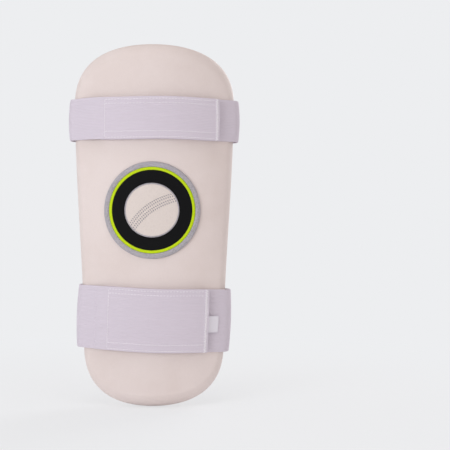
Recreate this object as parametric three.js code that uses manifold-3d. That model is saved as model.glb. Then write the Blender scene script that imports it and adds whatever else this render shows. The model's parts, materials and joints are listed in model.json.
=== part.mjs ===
// Strap-on limb guard for cricket: a curved padded plate, held on the limb by two elastic straps.
// Each strap is sewn to the front, wraps behind the pad, comes back round the other edge and closes
// on the front with hook and loop.
//
// Millimetres. +Z runs along the limb, +X to the right of someone who faces the guard, and the
// front face looks towards -Y. The origin lies on the limb side, between lining and straps.

import * as THREE from 'three';
import { mergeVertices } from 'three/addons/utils/BufferGeometryUtils.js';
import Module from 'manifold-3d';

const wasm = await Module();
wasm.setup();

// ---------------------------------------------------------------------------------------------
// Driving dimensions
// ---------------------------------------------------------------------------------------------

// Pad, seen from the front
const GUARD_LENGTH = 345;
const UPPER_WIDTH = 154.5;       // straight across the widest place, near the upper strap
const LOWER_WIDTH = 135;        // straight across near the lower strap
const TOP_SHOULDER = 52;        // height over which the top rounds into the side
const TOP_CORNER_IN = 30;       // control point of the top's rounding, in from the side
const TOP_CORNER_DOWN = 20;     // control point of the side's rounding, down from the top
const BOTTOM_SHOULDER = 55;
const BOTTOM_CORNER_IN = 30;
const BOTTOM_CORNER_UP = 16;

// Pad, in section
const BEND_RADIUS = 122;        // curve round the limb, to the middle of the padding
const PAD_THICKNESS = 18;
const WIDEST_HEIGHT = 8;        // height of the rim's widest line over the lining's rear face
const FRONT_EDGE_IN = 13;       // width of the rounding between front face and rim
const REAR_EDGE_IN = 5;         // width of the rounding between rim and lip
const COVER_WALL = 1.2;
const LIP_WIDTH = 12;           // how far the cover turns in behind the foam
const LINING_THICKNESS = 2.5;
const FOAM_SPLIT = 8.15;        // height of the joint between the two foams
const PIPING_RADIUS = 1.0;
const PIPING_IN = 4.2;          // piping's centre, in from the rim
const LIMB_OFFSET = 13;         // lining's face to the origin

// Badge
const BADGE_RADIUS = 46;
const BADGE_THICKNESS = 1.0;
const BADGE_RISE = 14;          // badge's centre over the middle of the guard
const BADGE_STITCH_IN = 2.5;    // stitch ring, in from the badge's edge

// Straps
const STRAP_THICKNESS = 1.8;
const HOOK_THICKNESS = 1.0;
const LOOP_THICKNESS = 1.0;
const WRAP_SLACK = 2.6;         // how far the elastic stands off the rim where it wraps
const HOOK_EDGE = 1.0;          // strap's edge to the hook patch
const LOOP_EDGE = 3.0;          // strap's edge to the loop patch
const FLAP_TAIL = 2.0;          // flap beyond the end of its hook patch

// Thread
const THREAD_WIDTH = 0.7;
const THREAD_HEIGHT = 0.4;
const OUTER_ROW_IN = 1.8;       // outer row of the flap's box, in from the strap's edge
const INNER_ROW_IN = 6.6;       // inner row
const BARTACK_SWING = 2.8;      // width of the zigzag at the flap's end
const BARTACK_PITCH = 2.4;
const BARTACK_IN = 2.6;         // zigzag's middle, in from the flap's end
const ANCHOR_BOX = 6;           // width of the box that anchors the fixed end

// Care label
const LABEL_WIDTH = 16;
const LABEL_REACH = 10;
const LABEL_THICKNESS = 0.4;
const LABEL_DROP = 3.3;         // label's middle under the strap's middle

// Clearances
const GAP = 0.3;                // between pieces that touch
const HINGE_GAP = 0.3;          // between a strap's fixed part and its free end

// Places along a strap are measured round the front face from the centre line, right positive.
const UPPER_STRAP = {
  name: 'upper',
  width: 40,
  end: 1,                       // the end of the pad that it keeps its distance from: 1 is the top
  fromEnd: 51.5,                // strap's edge to that end
  slope: 0.008,                 // fall to the right, per millimetre
  fixedStart: -50,
  loopStart: -40,
  loopEnd: 54,
  hookStart: -44,
  flapEnd: 63,
};
const LOWER_STRAP = {
  name: 'lower',
  width: 60,
  end: -1,
  fromEnd: 52.8,
  slope: 0.034,
  fixedStart: -47,
  loopStart: -37,
  loopEnd: 45,
  hookStart: -41,
  flapEnd: 52,
  tackAt: -54,
};

// Colours and finishes
const COLOURS = {
  cover: { color: 0xe6dcd8, roughness: 0.55 },
  impactFoam: { color: 0xd8d8da, roughness: 0.9 },
  comfortFoam: { color: 0xf0ead8, roughness: 0.95 },
  towelling: { color: 0xdccfcb, roughness: 1.0 },
  piping: { color: 0xd9cfcc, roughness: 0.7 },
  badge: { color: 0x1b1b1d, roughness: 0.6 },
  elastic: { color: 0xd3cad6, roughness: 0.85 },
  hook: { color: 0xe8e6ea, roughness: 0.8 },
  loop: { color: 0xe4e0e6, roughness: 1.0 },
  thread: { color: 0xf2f0f4, roughness: 0.6 },
  satin: { color: 0xf4f3f7, roughness: 0.4 },
};

// ---------------------------------------------------------------------------------------------
// Sizes worked out from the driving dimensions
// ---------------------------------------------------------------------------------------------

const INNER_RADIUS = BEND_RADIUS - PAD_THICKNESS / 2;
const FRONT_RADIUS = INNER_RADIUS + PAD_THICKNESS;
const AXIS_Y = INNER_RADIUS - LIMB_OFFSET;
const UPPER_HALF_ARC = BEND_RADIUS * Math.asin(UPPER_WIDTH / 2 / BEND_RADIUS);
const LOWER_HALF_ARC = BEND_RADIUS * Math.asin(LOWER_WIDTH / 2 / BEND_RADIUS);
const LIP_HEIGHT = LINING_THICKNESS + GAP;

// Radii of the layers over the front face, each the inner face of its piece
const FIXED_RADIUS = FRONT_RADIUS + GAP;
const LOOP_RADIUS = FIXED_RADIUS + STRAP_THICKNESS + GAP;
const HOOK_RADIUS = LOOP_RADIUS + LOOP_THICKNESS + GAP;
const FLAP_RADIUS = HOOK_RADIUS + HOOK_THICKNESS + GAP;
const FLAP_THREAD_RADIUS = FLAP_RADIUS + STRAP_THICKNESS + GAP;

const ARC_STEP = THREE.MathUtils.degToRad(4);
const WRAP_STEP = THREE.MathUtils.degToRad(12);

// ---------------------------------------------------------------------------------------------
// Geometry helpers
// ---------------------------------------------------------------------------------------------

// Point at a radius from the bend axis and an angle from the front, seen from above.
function polar(radius, angle) {
  return new THREE.Vector2(radius * Math.sin(angle), AXIS_Y - radius * Math.cos(angle));
}

// Angle of a place measured round the front face.
function frontAngle(along) {
  return along / FRONT_RADIUS;
}

// The same closed surface with merged vertices, no empty triangles and its faces pointing out.
function closedBody(geometry) {
  const bare = new THREE.BufferGeometry();
  bare.setAttribute('position', geometry.getAttribute('position').clone());
  if (geometry.index) bare.setIndex(geometry.index.clone());
  const merged = mergeVertices(bare, 1e-4);
  const kept = [];
  for (let i = 0; i < merged.index.count; i += 3) {
    const [a, b, c] = [0, 1, 2].map((k) => merged.index.getX(i + k));
    if (a !== b && b !== c && c !== a) kept.push(a, b, c);
  }
  if (signedVolume(merged, kept) < 0) kept.reverse();
  merged.setIndex(kept);
  return merged;
}

function signedVolume(geometry, index) {
  const position = geometry.getAttribute('position');
  const corner = [new THREE.Vector3(), new THREE.Vector3(), new THREE.Vector3()];
  let volume = 0;
  for (let i = 0; i < index.length; i += 3) {
    corner.forEach((point, k) => point.fromBufferAttribute(position, index[i + k]));
    volume += corner[0].dot(corner[1].cross(corner[2])) / 6;
  }
  return volume;
}

function toSolid(geometry) {
  const body = closedBody(geometry);
  return new wasm.Manifold(new wasm.Mesh({
    numProp: 3,
    vertProperties: new Float32Array(body.getAttribute('position').array),
    triVerts: new Uint32Array(body.index.array),
  }));
}

function joined(geometries) {
  const solid = geometries.map(toSolid).reduce((sum, next) => sum.add(next));
  const mesh = solid.getMesh();
  const geometry = new THREE.BufferGeometry();
  geometry.setAttribute('position', new THREE.BufferAttribute(mesh.vertProperties, 3));
  geometry.setIndex(new THREE.BufferAttribute(mesh.triVerts, 1));
  return geometry;
}

// Surface swept round an outline. `ring(i, inset)` gives the outline's point i, moved in, as an
// angle and a height. The profile is a list of [inset, radius]. A closed profile makes a tube; an
// open one starts and ends at the outline's middle, where the ring shrinks to a line or a point.
function sweep(ring, count, profile, closedProfile) {
  const positions = [];
  for (const [inset, radius] of profile) {
    for (let i = 0; i < count; i += 1) {
      const { angle, z } = ring(i, inset);
      const flat = polar(radius, angle);
      positions.push(flat.x, flat.y, z);
    }
  }
  const index = [];
  const rows = closedProfile ? profile.length : profile.length - 1;
  for (let row = 0; row < rows; row += 1) {
    const near = row * count;
    const far = ((row + 1) % profile.length) * count;
    const outwards = profile[row][0] >= profile[(row + 1) % profile.length][0];
    for (let i = 0; i < count; i += 1) {
      const next = (i + 1) % count;
      // The diagonal runs the same way on every layer, so that layers stay parallel.
      if (outwards) index.push(near + i, far + i, far + next, near + i, far + next, near + next);
      else index.push(near + i, far + i, near + next, near + next, far + i, far + next);
    }
  }
  const geometry = new THREE.BufferGeometry();
  geometry.setAttribute('position', new THREE.Float32BufferAttribute(positions, 3));
  geometry.setIndex(index);
  return closedBody(geometry);
}

// Quarter ellipse in a profile, from its start angle to its end angle, in degrees: 0 points at the
// rim and 90 at the front.
function profileArc(centre, across, up, from, to, steps) {
  const points = [];
  for (let k = 0; k <= steps; k += 1) {
    const angle = THREE.MathUtils.degToRad(from + ((to - from) * k) / steps);
    points.push([centre[0] - across * Math.cos(angle), centre[1] + up * Math.sin(angle)]);
  }
  return points;
}

// Band that follows a path seen from above and has a constant height. Each step of the path is a
// point and the direction that faces away from the pad.
function band(path, thickness, bottom, height) {
  const inner = path.map(({ point }) => point);
  const outer = path.map(({ point, out }) => point.clone().addScaledVector(out, thickness));
  const shape = new THREE.Shape([...inner, ...outer.reverse()]);
  const geometry = new THREE.ExtrudeGeometry(shape, { depth: height, bevelEnabled: false });
  geometry.translate(0, 0, bottom);
  return closedBody(geometry);
}

// Path at a radius from the bend axis, which may change along the way.
function arcPath(fromAngle, toAngle, radiusAt) {
  const steps = Math.max(1, Math.ceil(Math.abs(toAngle - fromAngle) / ARC_STEP));
  const path = [];
  for (let k = 0; k <= steps; k += 1) {
    const angle = THREE.MathUtils.lerp(fromAngle, toAngle, k / steps);
    const out = new THREE.Vector2(Math.sin(angle), -Math.cos(angle));
    path.push({ point: polar(radiusAt(angle), angle), out });
  }
  return path;
}

// Path round the middle of a wrap, between two directions.
function wrapPath(centre, radius, fromAngle, toAngle) {
  const steps = Math.max(1, Math.ceil(Math.abs(toAngle - fromAngle) / WRAP_STEP));
  const path = [];
  for (let k = 0; k <= steps; k += 1) {
    const angle = THREE.MathUtils.lerp(fromAngle, toAngle, k / steps);
    const out = new THREE.Vector2(Math.cos(angle), Math.sin(angle));
    path.push({ point: centre.clone().addScaledVector(out, radius), out });
  }
  return path;
}

// Plate that lies on the front at one radius.
function frontPlate(radius, thickness, start, end, bottom, height) {
  return band(arcPath(frontAngle(start), frontAngle(end), () => radius), thickness, bottom, height);
}

// Rectangular box of stitching on the front: rows are heights, columns are places along.
function stitchBox(radius, columns, rows) {
  const [left, right] = [Math.min(...columns), Math.max(...columns)];
  const [low, high] = [Math.min(...rows), Math.max(...rows)];
  const half = THREAD_WIDTH / 2;
  const across = rows.map((z) => frontPlate(radius, THREAD_HEIGHT, left - half, right + half,
    z - half, THREAD_WIDTH));
  const upright = columns.map((along) => frontPlate(radius, THREAD_HEIGHT, along - half,
    along + half, low, high - low));
  return joined([...across, ...upright]);
}

// Zigzag of thread across a strap, as one ribbon with a corner at each turn.
function zigzag(radius, along, bottom, height) {
  const turns = Math.round(height / BARTACK_PITCH) * 2;
  const middle = [];
  for (let k = 0; k <= turns; k += 1) {
    const side = k % 2 === 0 ? -1 : 1;
    middle.push([along + (side * BARTACK_SWING) / 2, bottom + (height * k) / turns]);
  }
  const left = middle.map(([x, z]) => new THREE.Vector2(x - THREAD_WIDTH, z));
  const right = middle.map(([x, z]) => new THREE.Vector2(x + THREAD_WIDTH, z));
  const shape = new THREE.Shape([...left, ...right.reverse()]);
  const geometry = new THREE.ExtrudeGeometry(shape, { depth: THREAD_HEIGHT, bevelEnabled: false });
  const position = geometry.getAttribute('position');
  for (let i = 0; i < position.count; i += 1) {
    const flat = polar(radius + position.getZ(i), frontAngle(position.getX(i)));
    position.setXYZ(i, flat.x, flat.y, position.getY(i));
  }
  return closedBody(geometry);
}

function named(name, geometry, finish) {
  const mesh = new THREE.Mesh(geometry, new THREE.MeshStandardMaterial({ ...finish, metalness: 0 }));
  mesh.name = name;
  return mesh;
}

// ---------------------------------------------------------------------------------------------
// Outline of the pad, laid flat
// ---------------------------------------------------------------------------------------------

// Right half of the outline, from the middle of the top down to the middle of the bottom.
function outlineHalf() {
  const top = GUARD_LENGTH / 2;
  const bottom = -top;
  const [upper, lower] = [UPPER_HALF_ARC, LOWER_HALF_ARC];
  const sideTop = top - TOP_SHOULDER;
  const sideBottom = bottom + BOTTOM_SHOULDER;
  const handle = (sideTop - sideBottom) / 3;
  const at = (x, y) => new THREE.Vector2(x, y);
  const shoulder = new THREE.CubicBezierCurve(at(0, top), at(upper - TOP_CORNER_IN, top),
    at(upper, top - TOP_CORNER_DOWN), at(upper, sideTop));
  const side = new THREE.CubicBezierCurve(at(upper, sideTop), at(upper, sideTop - handle),
    at(lower, sideBottom + handle), at(lower, sideBottom));
  const foot = new THREE.CubicBezierCurve(at(lower, sideBottom), at(lower, bottom + BOTTOM_CORNER_UP),
    at(lower - BOTTOM_CORNER_IN, bottom), at(0, bottom));
  return [...shoulder.getPoints(8), ...side.getPoints(5).slice(1), ...foot.getPoints(8).slice(1)];
}

const HALF = outlineHalf();
const RING_COUNT = 2 * (HALF.length - 1);
const SPINE_TOP = GUARD_LENGTH / 2 - UPPER_HALF_ARC;
const SPINE_BOTTOM = -GUARD_LENGTH / 2 + LOWER_HALF_ARC;

// Point i of the outline, moved in towards the pad's upright middle line.
function padRing(i, inset) {
  const onRight = i < HALF.length;
  const edge = onRight ? HALF[i] : HALF[RING_COUNT - i];
  const share = 1 - inset / UPPER_HALF_ARC;
  const spine = THREE.MathUtils.clamp(edge.y, SPINE_BOTTOM, SPINE_TOP);
  const along = (onRight ? 1 : -1) * share * edge.x;
  return { angle: along / BEND_RADIUS, z: spine + share * (edge.y - spine) };
}

// Widest half of the pad, laid flat, between two heights.
function halfArcBetween(low, high) {
  const inside = HALF.filter(({ y }) => y > low && y < high).map(({ x }) => x);
  const ends = [low, high].map((z) => {
    const k = HALF.findIndex(({ y }) => y <= z);
    const [above, below] = [HALF[k - 1], HALF[k]];
    return THREE.MathUtils.mapLinear(z, above.y, below.y, above.x, below.x);
  });
  return Math.max(...inside, ...ends);
}

// ---------------------------------------------------------------------------------------------
// Pad
// ---------------------------------------------------------------------------------------------

// Steps of a face between the pad's middle line and its rim; every layer uses the same ones.
const FACE_STEPS = [0, 0.14, 0.28, 0.42, 0.56, 0.7];

function facePath(height) {
  return FACE_STEPS.map((share) => [UPPER_HALF_ARC * (1 - share), height]);
}

// Rounded edges of the cover, or of what lies inside it by `depth`.
function frontEdge(depth, from, to) {
  const centre = [FRONT_EDGE_IN, WIDEST_HEIGHT];
  const across = FRONT_EDGE_IN - depth;
  return profileArc(centre, across, PAD_THICKNESS - WIDEST_HEIGHT - depth, from, to, 4);
}

function rearEdge(depth, from, to) {
  const centre = [REAR_EDGE_IN, WIDEST_HEIGHT];
  const across = REAR_EDGE_IN - depth;
  return profileArc(centre, across, WIDEST_HEIGHT - LIP_HEIGHT - depth, from, to, 3);
}

// Profiles are written over the lining's rear face; the sweep wants radii.
function padBody(profile, closedProfile = false) {
  const radii = profile.map(([inset, height]) => [inset, INNER_RADIUS + height]);
  return sweep(padRing, RING_COUNT, radii, closedProfile);
}

function frontCover() {
  const outside = [...facePath(PAD_THICKNESS), ...frontEdge(0, 90, 0), ...rearEdge(0, 0, -90).slice(1),
    [LIP_WIDTH, LIP_HEIGHT]];
  const inside = [[LIP_WIDTH, LIP_HEIGHT + COVER_WALL], ...rearEdge(COVER_WALL, -90, 0),
    ...frontEdge(COVER_WALL, 0, 90).slice(1), ...facePath(PAD_THICKNESS - COVER_WALL).reverse()];
  return padBody([...outside, ...inside]);
}

function impactFoam() {
  const depth = COVER_WALL + GAP;
  const bottom = FOAM_SPLIT + GAP / 2;
  const up = PAD_THICKNESS - WIDEST_HEIGHT - depth;
  const start = THREE.MathUtils.radToDeg(Math.asin((bottom - WIDEST_HEIGHT) / up));
  return padBody([...facePath(bottom), ...frontEdge(depth, start, 90),
    ...facePath(PAD_THICKNESS - depth).reverse()]);
}

function comfortFoam() {
  const depth = COVER_WALL + GAP;
  const top = FOAM_SPLIT - GAP / 2;
  const step = LIP_HEIGHT + depth;
  return padBody([...facePath(LIP_HEIGHT), [LIP_WIDTH + GAP, LIP_HEIGHT], [LIP_WIDTH + GAP, step],
    ...rearEdge(depth, -90, 0), ...facePath(top).reverse()]);
}

function rearLining() {
  const edge = PIPING_IN + PIPING_RADIUS + GAP;
  const round = LINING_THICKNESS / 2;
  return padBody([...facePath(0), ...profileArc([edge + round, round], round, round, -90, 90, 4),
    ...facePath(LINING_THICKNESS).reverse()]);
}

function liningPiping() {
  const middle = LINING_THICKNESS - PIPING_RADIUS;
  const circle = profileArc([PIPING_IN, middle], PIPING_RADIUS, PIPING_RADIUS, 0, 360, 8);
  return padBody(circle.slice(0, -1), true);
}

// ---------------------------------------------------------------------------------------------
// Badge
// ---------------------------------------------------------------------------------------------

const BADGE_COUNT = 32;
const BADGE_RINGS = 5;

function badgeRing(i, inset) {
  const turn = (2 * Math.PI * i) / BADGE_COUNT;
  const radius = BADGE_RADIUS - inset;
  return { angle: frontAngle(radius * Math.sin(turn)), z: BADGE_RISE + radius * Math.cos(turn) };
}

function badge() {
  const low = FRONT_RADIUS + GAP;
  const high = low + BADGE_THICKNESS;
  const insets = Array.from({ length: BADGE_RINGS + 1 }, (_, k) => BADGE_RADIUS * (1 - k / BADGE_RINGS));
  const under = insets.map((inset) => [inset, low]);
  const over = insets.map((inset) => [inset, high]).reverse();
  return sweep(badgeRing, BADGE_COUNT, [...under, ...over], false);
}

function badgeStitching() {
  const low = FRONT_RADIUS + GAP + BADGE_THICKNESS + GAP;
  const high = low + THREAD_HEIGHT;
  const [near, far] = [BADGE_STITCH_IN, BADGE_STITCH_IN + THREAD_WIDTH];
  const square = [[near, low], [near, high], [far, high], [far, low]];
  return sweep(badgeRing, BADGE_COUNT, square, true);
}

// ---------------------------------------------------------------------------------------------
// Straps
// ---------------------------------------------------------------------------------------------

// Where a strap runs: its heights, the two wraps and the hinge line of its free end.
function strapLayout(strap) {
  const rim = PAD_THICKNESS / 2;
  const middle = strap.end * (GUARD_LENGTH / 2 - strap.fromEnd - strap.width / 2);
  const bottom = middle - strap.width / 2;
  const halfArc = halfArcBetween(bottom, bottom + strap.width);
  const wrapRadius = rim + WRAP_SLACK;
  const wrapAngle = (halfArc - rim) / BEND_RADIUS;
  const centreRadius = FIXED_RADIUS - wrapRadius;
  const left = polar(centreRadius, -wrapAngle);
  const right = polar(centreRadius, wrapAngle);
  const hingeTurn = HINGE_GAP / 2 / wrapRadius;
  return { middle, bottom, wrapRadius, wrapAngle, left, right, hingeTurn };
}

// Fixed end on the front, right wrap, straight run behind the limb, and left wrap to the hinge.
function strapLoop(strap, layout) {
  const { bottom, wrapRadius, wrapAngle, left, right, hingeTurn } = layout;
  const quarter = Math.PI / 2;
  const path = [
    ...arcPath(frontAngle(strap.fixedStart), wrapAngle, () => FIXED_RADIUS),
    ...wrapPath(right, wrapRadius, wrapAngle - quarter, quarter).slice(1),
    ...wrapPath(left, wrapRadius, quarter, 2 * quarter - hingeTurn),
  ];
  return band(path, STRAP_THICKNESS, bottom, strap.width);
}

// Free end: from the hinge round the front edge, up onto the closure and across to its cut end.
function flapRadius(strap, layout, angle) {
  const climb = THREE.MathUtils.smoothstep(angle, -layout.wrapAngle, frontAngle(strap.hookStart));
  return THREE.MathUtils.lerp(FIXED_RADIUS, FLAP_RADIUS, climb);
}

function strapFlap(strap, layout) {
  const { bottom, wrapRadius, wrapAngle, left, hingeTurn } = layout;
  const hookAngle = frontAngle(strap.hookStart);
  const path = [
    ...wrapPath(left, wrapRadius, Math.PI + hingeTurn, 1.5 * Math.PI - wrapAngle),
    ...arcPath(-wrapAngle, hookAngle, (angle) => flapRadius(strap, layout, angle)).slice(1),
    ...arcPath(hookAngle, frontAngle(strap.flapEnd), () => FLAP_RADIUS).slice(1),
  ];
  return band(path, STRAP_THICKNESS, bottom, strap.width);
}

function hookPatch(strap, { bottom }) {
  return frontPlate(HOOK_RADIUS, HOOK_THICKNESS, strap.hookStart, strap.flapEnd - FLAP_TAIL,
    bottom + HOOK_EDGE, strap.width - 2 * HOOK_EDGE);
}

function loopPatch(strap, { bottom }) {
  return frontPlate(LOOP_RADIUS, LOOP_THICKNESS, strap.loopStart, strap.loopEnd,
    bottom + LOOP_EDGE, strap.width - 2 * LOOP_EDGE);
}

// Box and two inner rows that show where the hook patch is sewn under the flap.
function flapStitching(strap, { bottom }) {
  const top = bottom + strap.width;
  const right = strap.flapEnd - BARTACK_IN - BARTACK_SWING / 2 - 2 * THREAD_WIDTH - GAP;
  const columns = [strap.hookStart + THREAD_WIDTH, right];
  const rows = [OUTER_ROW_IN, INNER_ROW_IN].flatMap((inset) => [bottom + inset, top - inset]);
  return stitchBox(FLAP_THREAD_RADIUS, columns, rows);
}

function endBartack(strap, { bottom }) {
  return zigzag(FLAP_THREAD_RADIUS, strap.flapEnd - BARTACK_IN, bottom + THREAD_WIDTH,
    strap.width - 2 * THREAD_WIDTH);
}

// Overcast seam just outside the loop patch, on the fixed end.
function loopStitching(strap, { bottom }) {
  const out = GAP + THREAD_WIDTH / 2;
  const columns = [strap.loopStart - out, strap.loopEnd + out];
  const rows = [bottom + LOOP_EDGE - out, bottom + strap.width - LOOP_EDGE + out];
  return stitchBox(LOOP_RADIUS, columns, rows);
}

function anchorStitching(strap, { bottom }) {
  const left = strap.fixedStart + THREAD_WIDTH + GAP;
  const rows = [bottom + LOOP_EDGE, bottom + strap.width - LOOP_EDGE];
  return stitchBox(LOOP_RADIUS, [left, left + ANCHOR_BOX], rows);
}

// Single upright row of stitches near the lower flap's root, on the rising part of the flap.
function flapTack(strap, layout) {
  const half = THREAD_WIDTH / 2;
  const radius = (angle) => flapRadius(strap, layout, angle) + STRAP_THICKNESS + GAP;
  const path = arcPath(frontAngle(strap.tackAt - half), frontAngle(strap.tackAt + half), radius);
  return band(path, THREAD_HEIGHT, layout.bottom + OUTER_ROW_IN, strap.width - 2 * OUTER_ROW_IN);
}

// Blank satin tab that starts at the flap's cut end and leans down onto the fixed end.
function careLabel(strap, layout) {
  const start = frontAngle(strap.flapEnd + GAP);
  const end = frontAngle(strap.flapEnd + GAP + LABEL_REACH);
  const high = FLAP_RADIUS - LABEL_THICKNESS;
  const low = FIXED_RADIUS + STRAP_THICKNESS + GAP;
  const radius = (angle) => THREE.MathUtils.mapLinear(angle, start, end, high, low);
  const bottom = layout.middle - LABEL_DROP - LABEL_WIDTH / 2;
  return band(arcPath(start, end, radius), LABEL_THICKNESS, bottom, LABEL_WIDTH);
}

// A strap's pieces share one fall to the right, so they keep their clearances.
function strapGroup(strap) {
  const layout = strapLayout(strap);
  const fall = new THREE.Matrix4().makeShear(0, -strap.slope, 0, 0, 0, 0);
  const group = new THREE.Group();
  const add = (name, geometry, finish) => group.add(named(name, geometry.applyMatrix4(fall), finish));
  add(`${strap.name}_strap_loop`, strapLoop(strap, layout), COLOURS.elastic);
  add(`${strap.name}_strap_flap`, strapFlap(strap, layout), COLOURS.elastic);
  add(`${strap.name}_hook_patch`, hookPatch(strap, layout), COLOURS.hook);
  add(`${strap.name}_loop_patch`, loopPatch(strap, layout), COLOURS.loop);
  add(`${strap.name}_flap_stitching`, flapStitching(strap, layout), COLOURS.thread);
  add(`${strap.name}_end_bartack`, endBartack(strap, layout), COLOURS.thread);
  add(`${strap.name}_loop_stitching`, loopStitching(strap, layout), COLOURS.thread);
  add(`${strap.name}_anchor_stitching`, anchorStitching(strap, layout), COLOURS.thread);
  if (strap.tackAt !== undefined) {
    add(`${strap.name}_flap_tack`, flapTack(strap, layout), COLOURS.thread);
    add('care_label', careLabel(strap, layout), COLOURS.satin);
  }
  return group;
}

// ---------------------------------------------------------------------------------------------
// Assembly
// ---------------------------------------------------------------------------------------------

const guard = new THREE.Group();
guard.add(
  named('front_cover', frontCover(), COLOURS.cover),
  named('impact_foam', impactFoam(), COLOURS.impactFoam),
  named('comfort_foam', comfortFoam(), COLOURS.comfortFoam),
  named('rear_lining', rearLining(), COLOURS.towelling),
  named('lining_piping', liningPiping(), COLOURS.piping),
  named('badge', badge(), COLOURS.badge),
  named('badge_stitching', badgeStitching(), COLOURS.thread),
  strapGroup(UPPER_STRAP),
  strapGroup(LOWER_STRAP),
);

export default guard;
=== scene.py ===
"""Looks of a strap-on cricket limb guard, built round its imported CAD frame.

The guard is a curved padded plate: a smooth leathercloth cover in front, towelling behind, a piped
seam between them, a sewn badge, and two elastic straps that close on the front with hook and loop.

Shapes are worked out in millimetres as whole numpy arrays, and become metres when a mesh is made.
A place on the pad is an angle round the bend of the limb, a radius from the bend's axis and a
height. The point attribute `flat` holds, in metres, how far a point lies along its piece and across
it, and in its third channel a share from 0 to 1 that a finish uses for edges or pile.
"""

import json
import logging
import math
from dataclasses import dataclass, field
from enum import Enum
from typing import Any, Callable, ClassVar, Iterable, Optional, Sequence, Union

import bmesh
import bpy
import numpy as np
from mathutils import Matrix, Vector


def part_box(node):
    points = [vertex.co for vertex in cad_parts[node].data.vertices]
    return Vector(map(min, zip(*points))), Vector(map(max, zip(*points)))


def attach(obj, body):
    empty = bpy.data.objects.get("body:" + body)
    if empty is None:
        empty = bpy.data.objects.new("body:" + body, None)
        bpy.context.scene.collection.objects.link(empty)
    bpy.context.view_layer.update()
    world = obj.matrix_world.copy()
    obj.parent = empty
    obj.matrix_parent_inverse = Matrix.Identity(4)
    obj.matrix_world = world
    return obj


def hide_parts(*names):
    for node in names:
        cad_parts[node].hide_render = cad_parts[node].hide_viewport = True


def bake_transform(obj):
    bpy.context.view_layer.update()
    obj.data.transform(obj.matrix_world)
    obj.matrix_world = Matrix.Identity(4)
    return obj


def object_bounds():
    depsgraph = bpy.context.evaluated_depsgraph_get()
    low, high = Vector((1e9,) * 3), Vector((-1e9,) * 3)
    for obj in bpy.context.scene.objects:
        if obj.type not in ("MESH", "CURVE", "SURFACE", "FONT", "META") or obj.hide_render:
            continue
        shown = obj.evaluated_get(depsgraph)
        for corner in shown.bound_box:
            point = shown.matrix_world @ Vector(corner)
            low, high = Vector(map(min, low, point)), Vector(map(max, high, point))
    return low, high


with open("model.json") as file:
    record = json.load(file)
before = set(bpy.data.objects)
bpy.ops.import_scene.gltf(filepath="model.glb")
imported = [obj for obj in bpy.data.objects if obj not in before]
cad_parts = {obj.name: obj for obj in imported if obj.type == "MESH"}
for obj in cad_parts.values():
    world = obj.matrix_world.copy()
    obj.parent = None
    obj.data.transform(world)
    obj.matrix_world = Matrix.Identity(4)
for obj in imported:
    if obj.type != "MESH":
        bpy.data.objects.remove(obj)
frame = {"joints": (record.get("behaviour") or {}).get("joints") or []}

Array = np.ndarray
Colour = tuple[float, float, float, float]

LOG = logging.getLogger("limb_guard")
MM = 0.001
SEED = 20
LATTICE = 256           # squares to a side of a noise lattice, after which it repeats
CREASE = 55.0           # angle in degrees between faces over which a shell's edge stays sharp
MERGE = 1e-6            # distance in metres under which a shell's points are one
CAD_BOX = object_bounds()


# --------------------------------------------------------------------------------------------
# Numbers and noise
# --------------------------------------------------------------------------------------------


def smooth(share: Union[float, Array]) -> Array:
    """Eases 0..1 to 0..1 with flat ends: 3 s^2 - 2 s^3, held at its ends."""
    share = np.clip(share, 0.0, 1.0)
    return share * share * (3 - 2 * share)


def noise(x: Array, y: Array, cell: float, seed: int) -> Array:
    """Value noise: random numbers on a square lattice, eased from corner to corner.

    Args:
        x: First coordinate, in the unit of `cell`.
        y: Second coordinate.
        cell: Side of a lattice square.
        seed: Which lattice.

    Returns:
        Values from -1 to 1, in the shape of `x`.
    """
    lattice = np.random.default_rng(SEED + seed).uniform(-1, 1, (LATTICE, LATTICE))
    column, row = np.floor(x / cell).astype(int), np.floor(y / cell).astype(int)
    right, up = smooth(x / cell - column), smooth(y / cell - row)

    def corner(i: int, j: int) -> Array:
        """The lattice's number `i` columns right of each point's square and `j` rows up."""
        return lattice[(row + j) % LATTICE, (column + i) % LATTICE]

    low = corner(0, 0) * (1 - right) + corner(1, 0) * right
    high = corner(0, 1) * (1 - right) + corner(1, 1) * right
    return low * (1 - up) + high * up


# --------------------------------------------------------------------------------------------
# Shells: closed surfaces made from grids
# --------------------------------------------------------------------------------------------


def grid_faces(rows: int, columns: int, closed_rows: bool, closed_columns: bool) -> Array:
    """Four-cornered faces between neighbours on a grid whose points are numbered row by row."""
    i = np.arange(rows if closed_rows else rows - 1)
    j = np.arange(columns if closed_columns else columns - 1)
    row, column = (part.ravel() for part in np.meshgrid(i, j, indexing="ij"))
    below, beside = (row + 1) % rows, (column + 1) % columns
    return np.stack((row * columns + column, row * columns + beside,
                     below * columns + beside, below * columns + column), axis=1)


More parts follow.
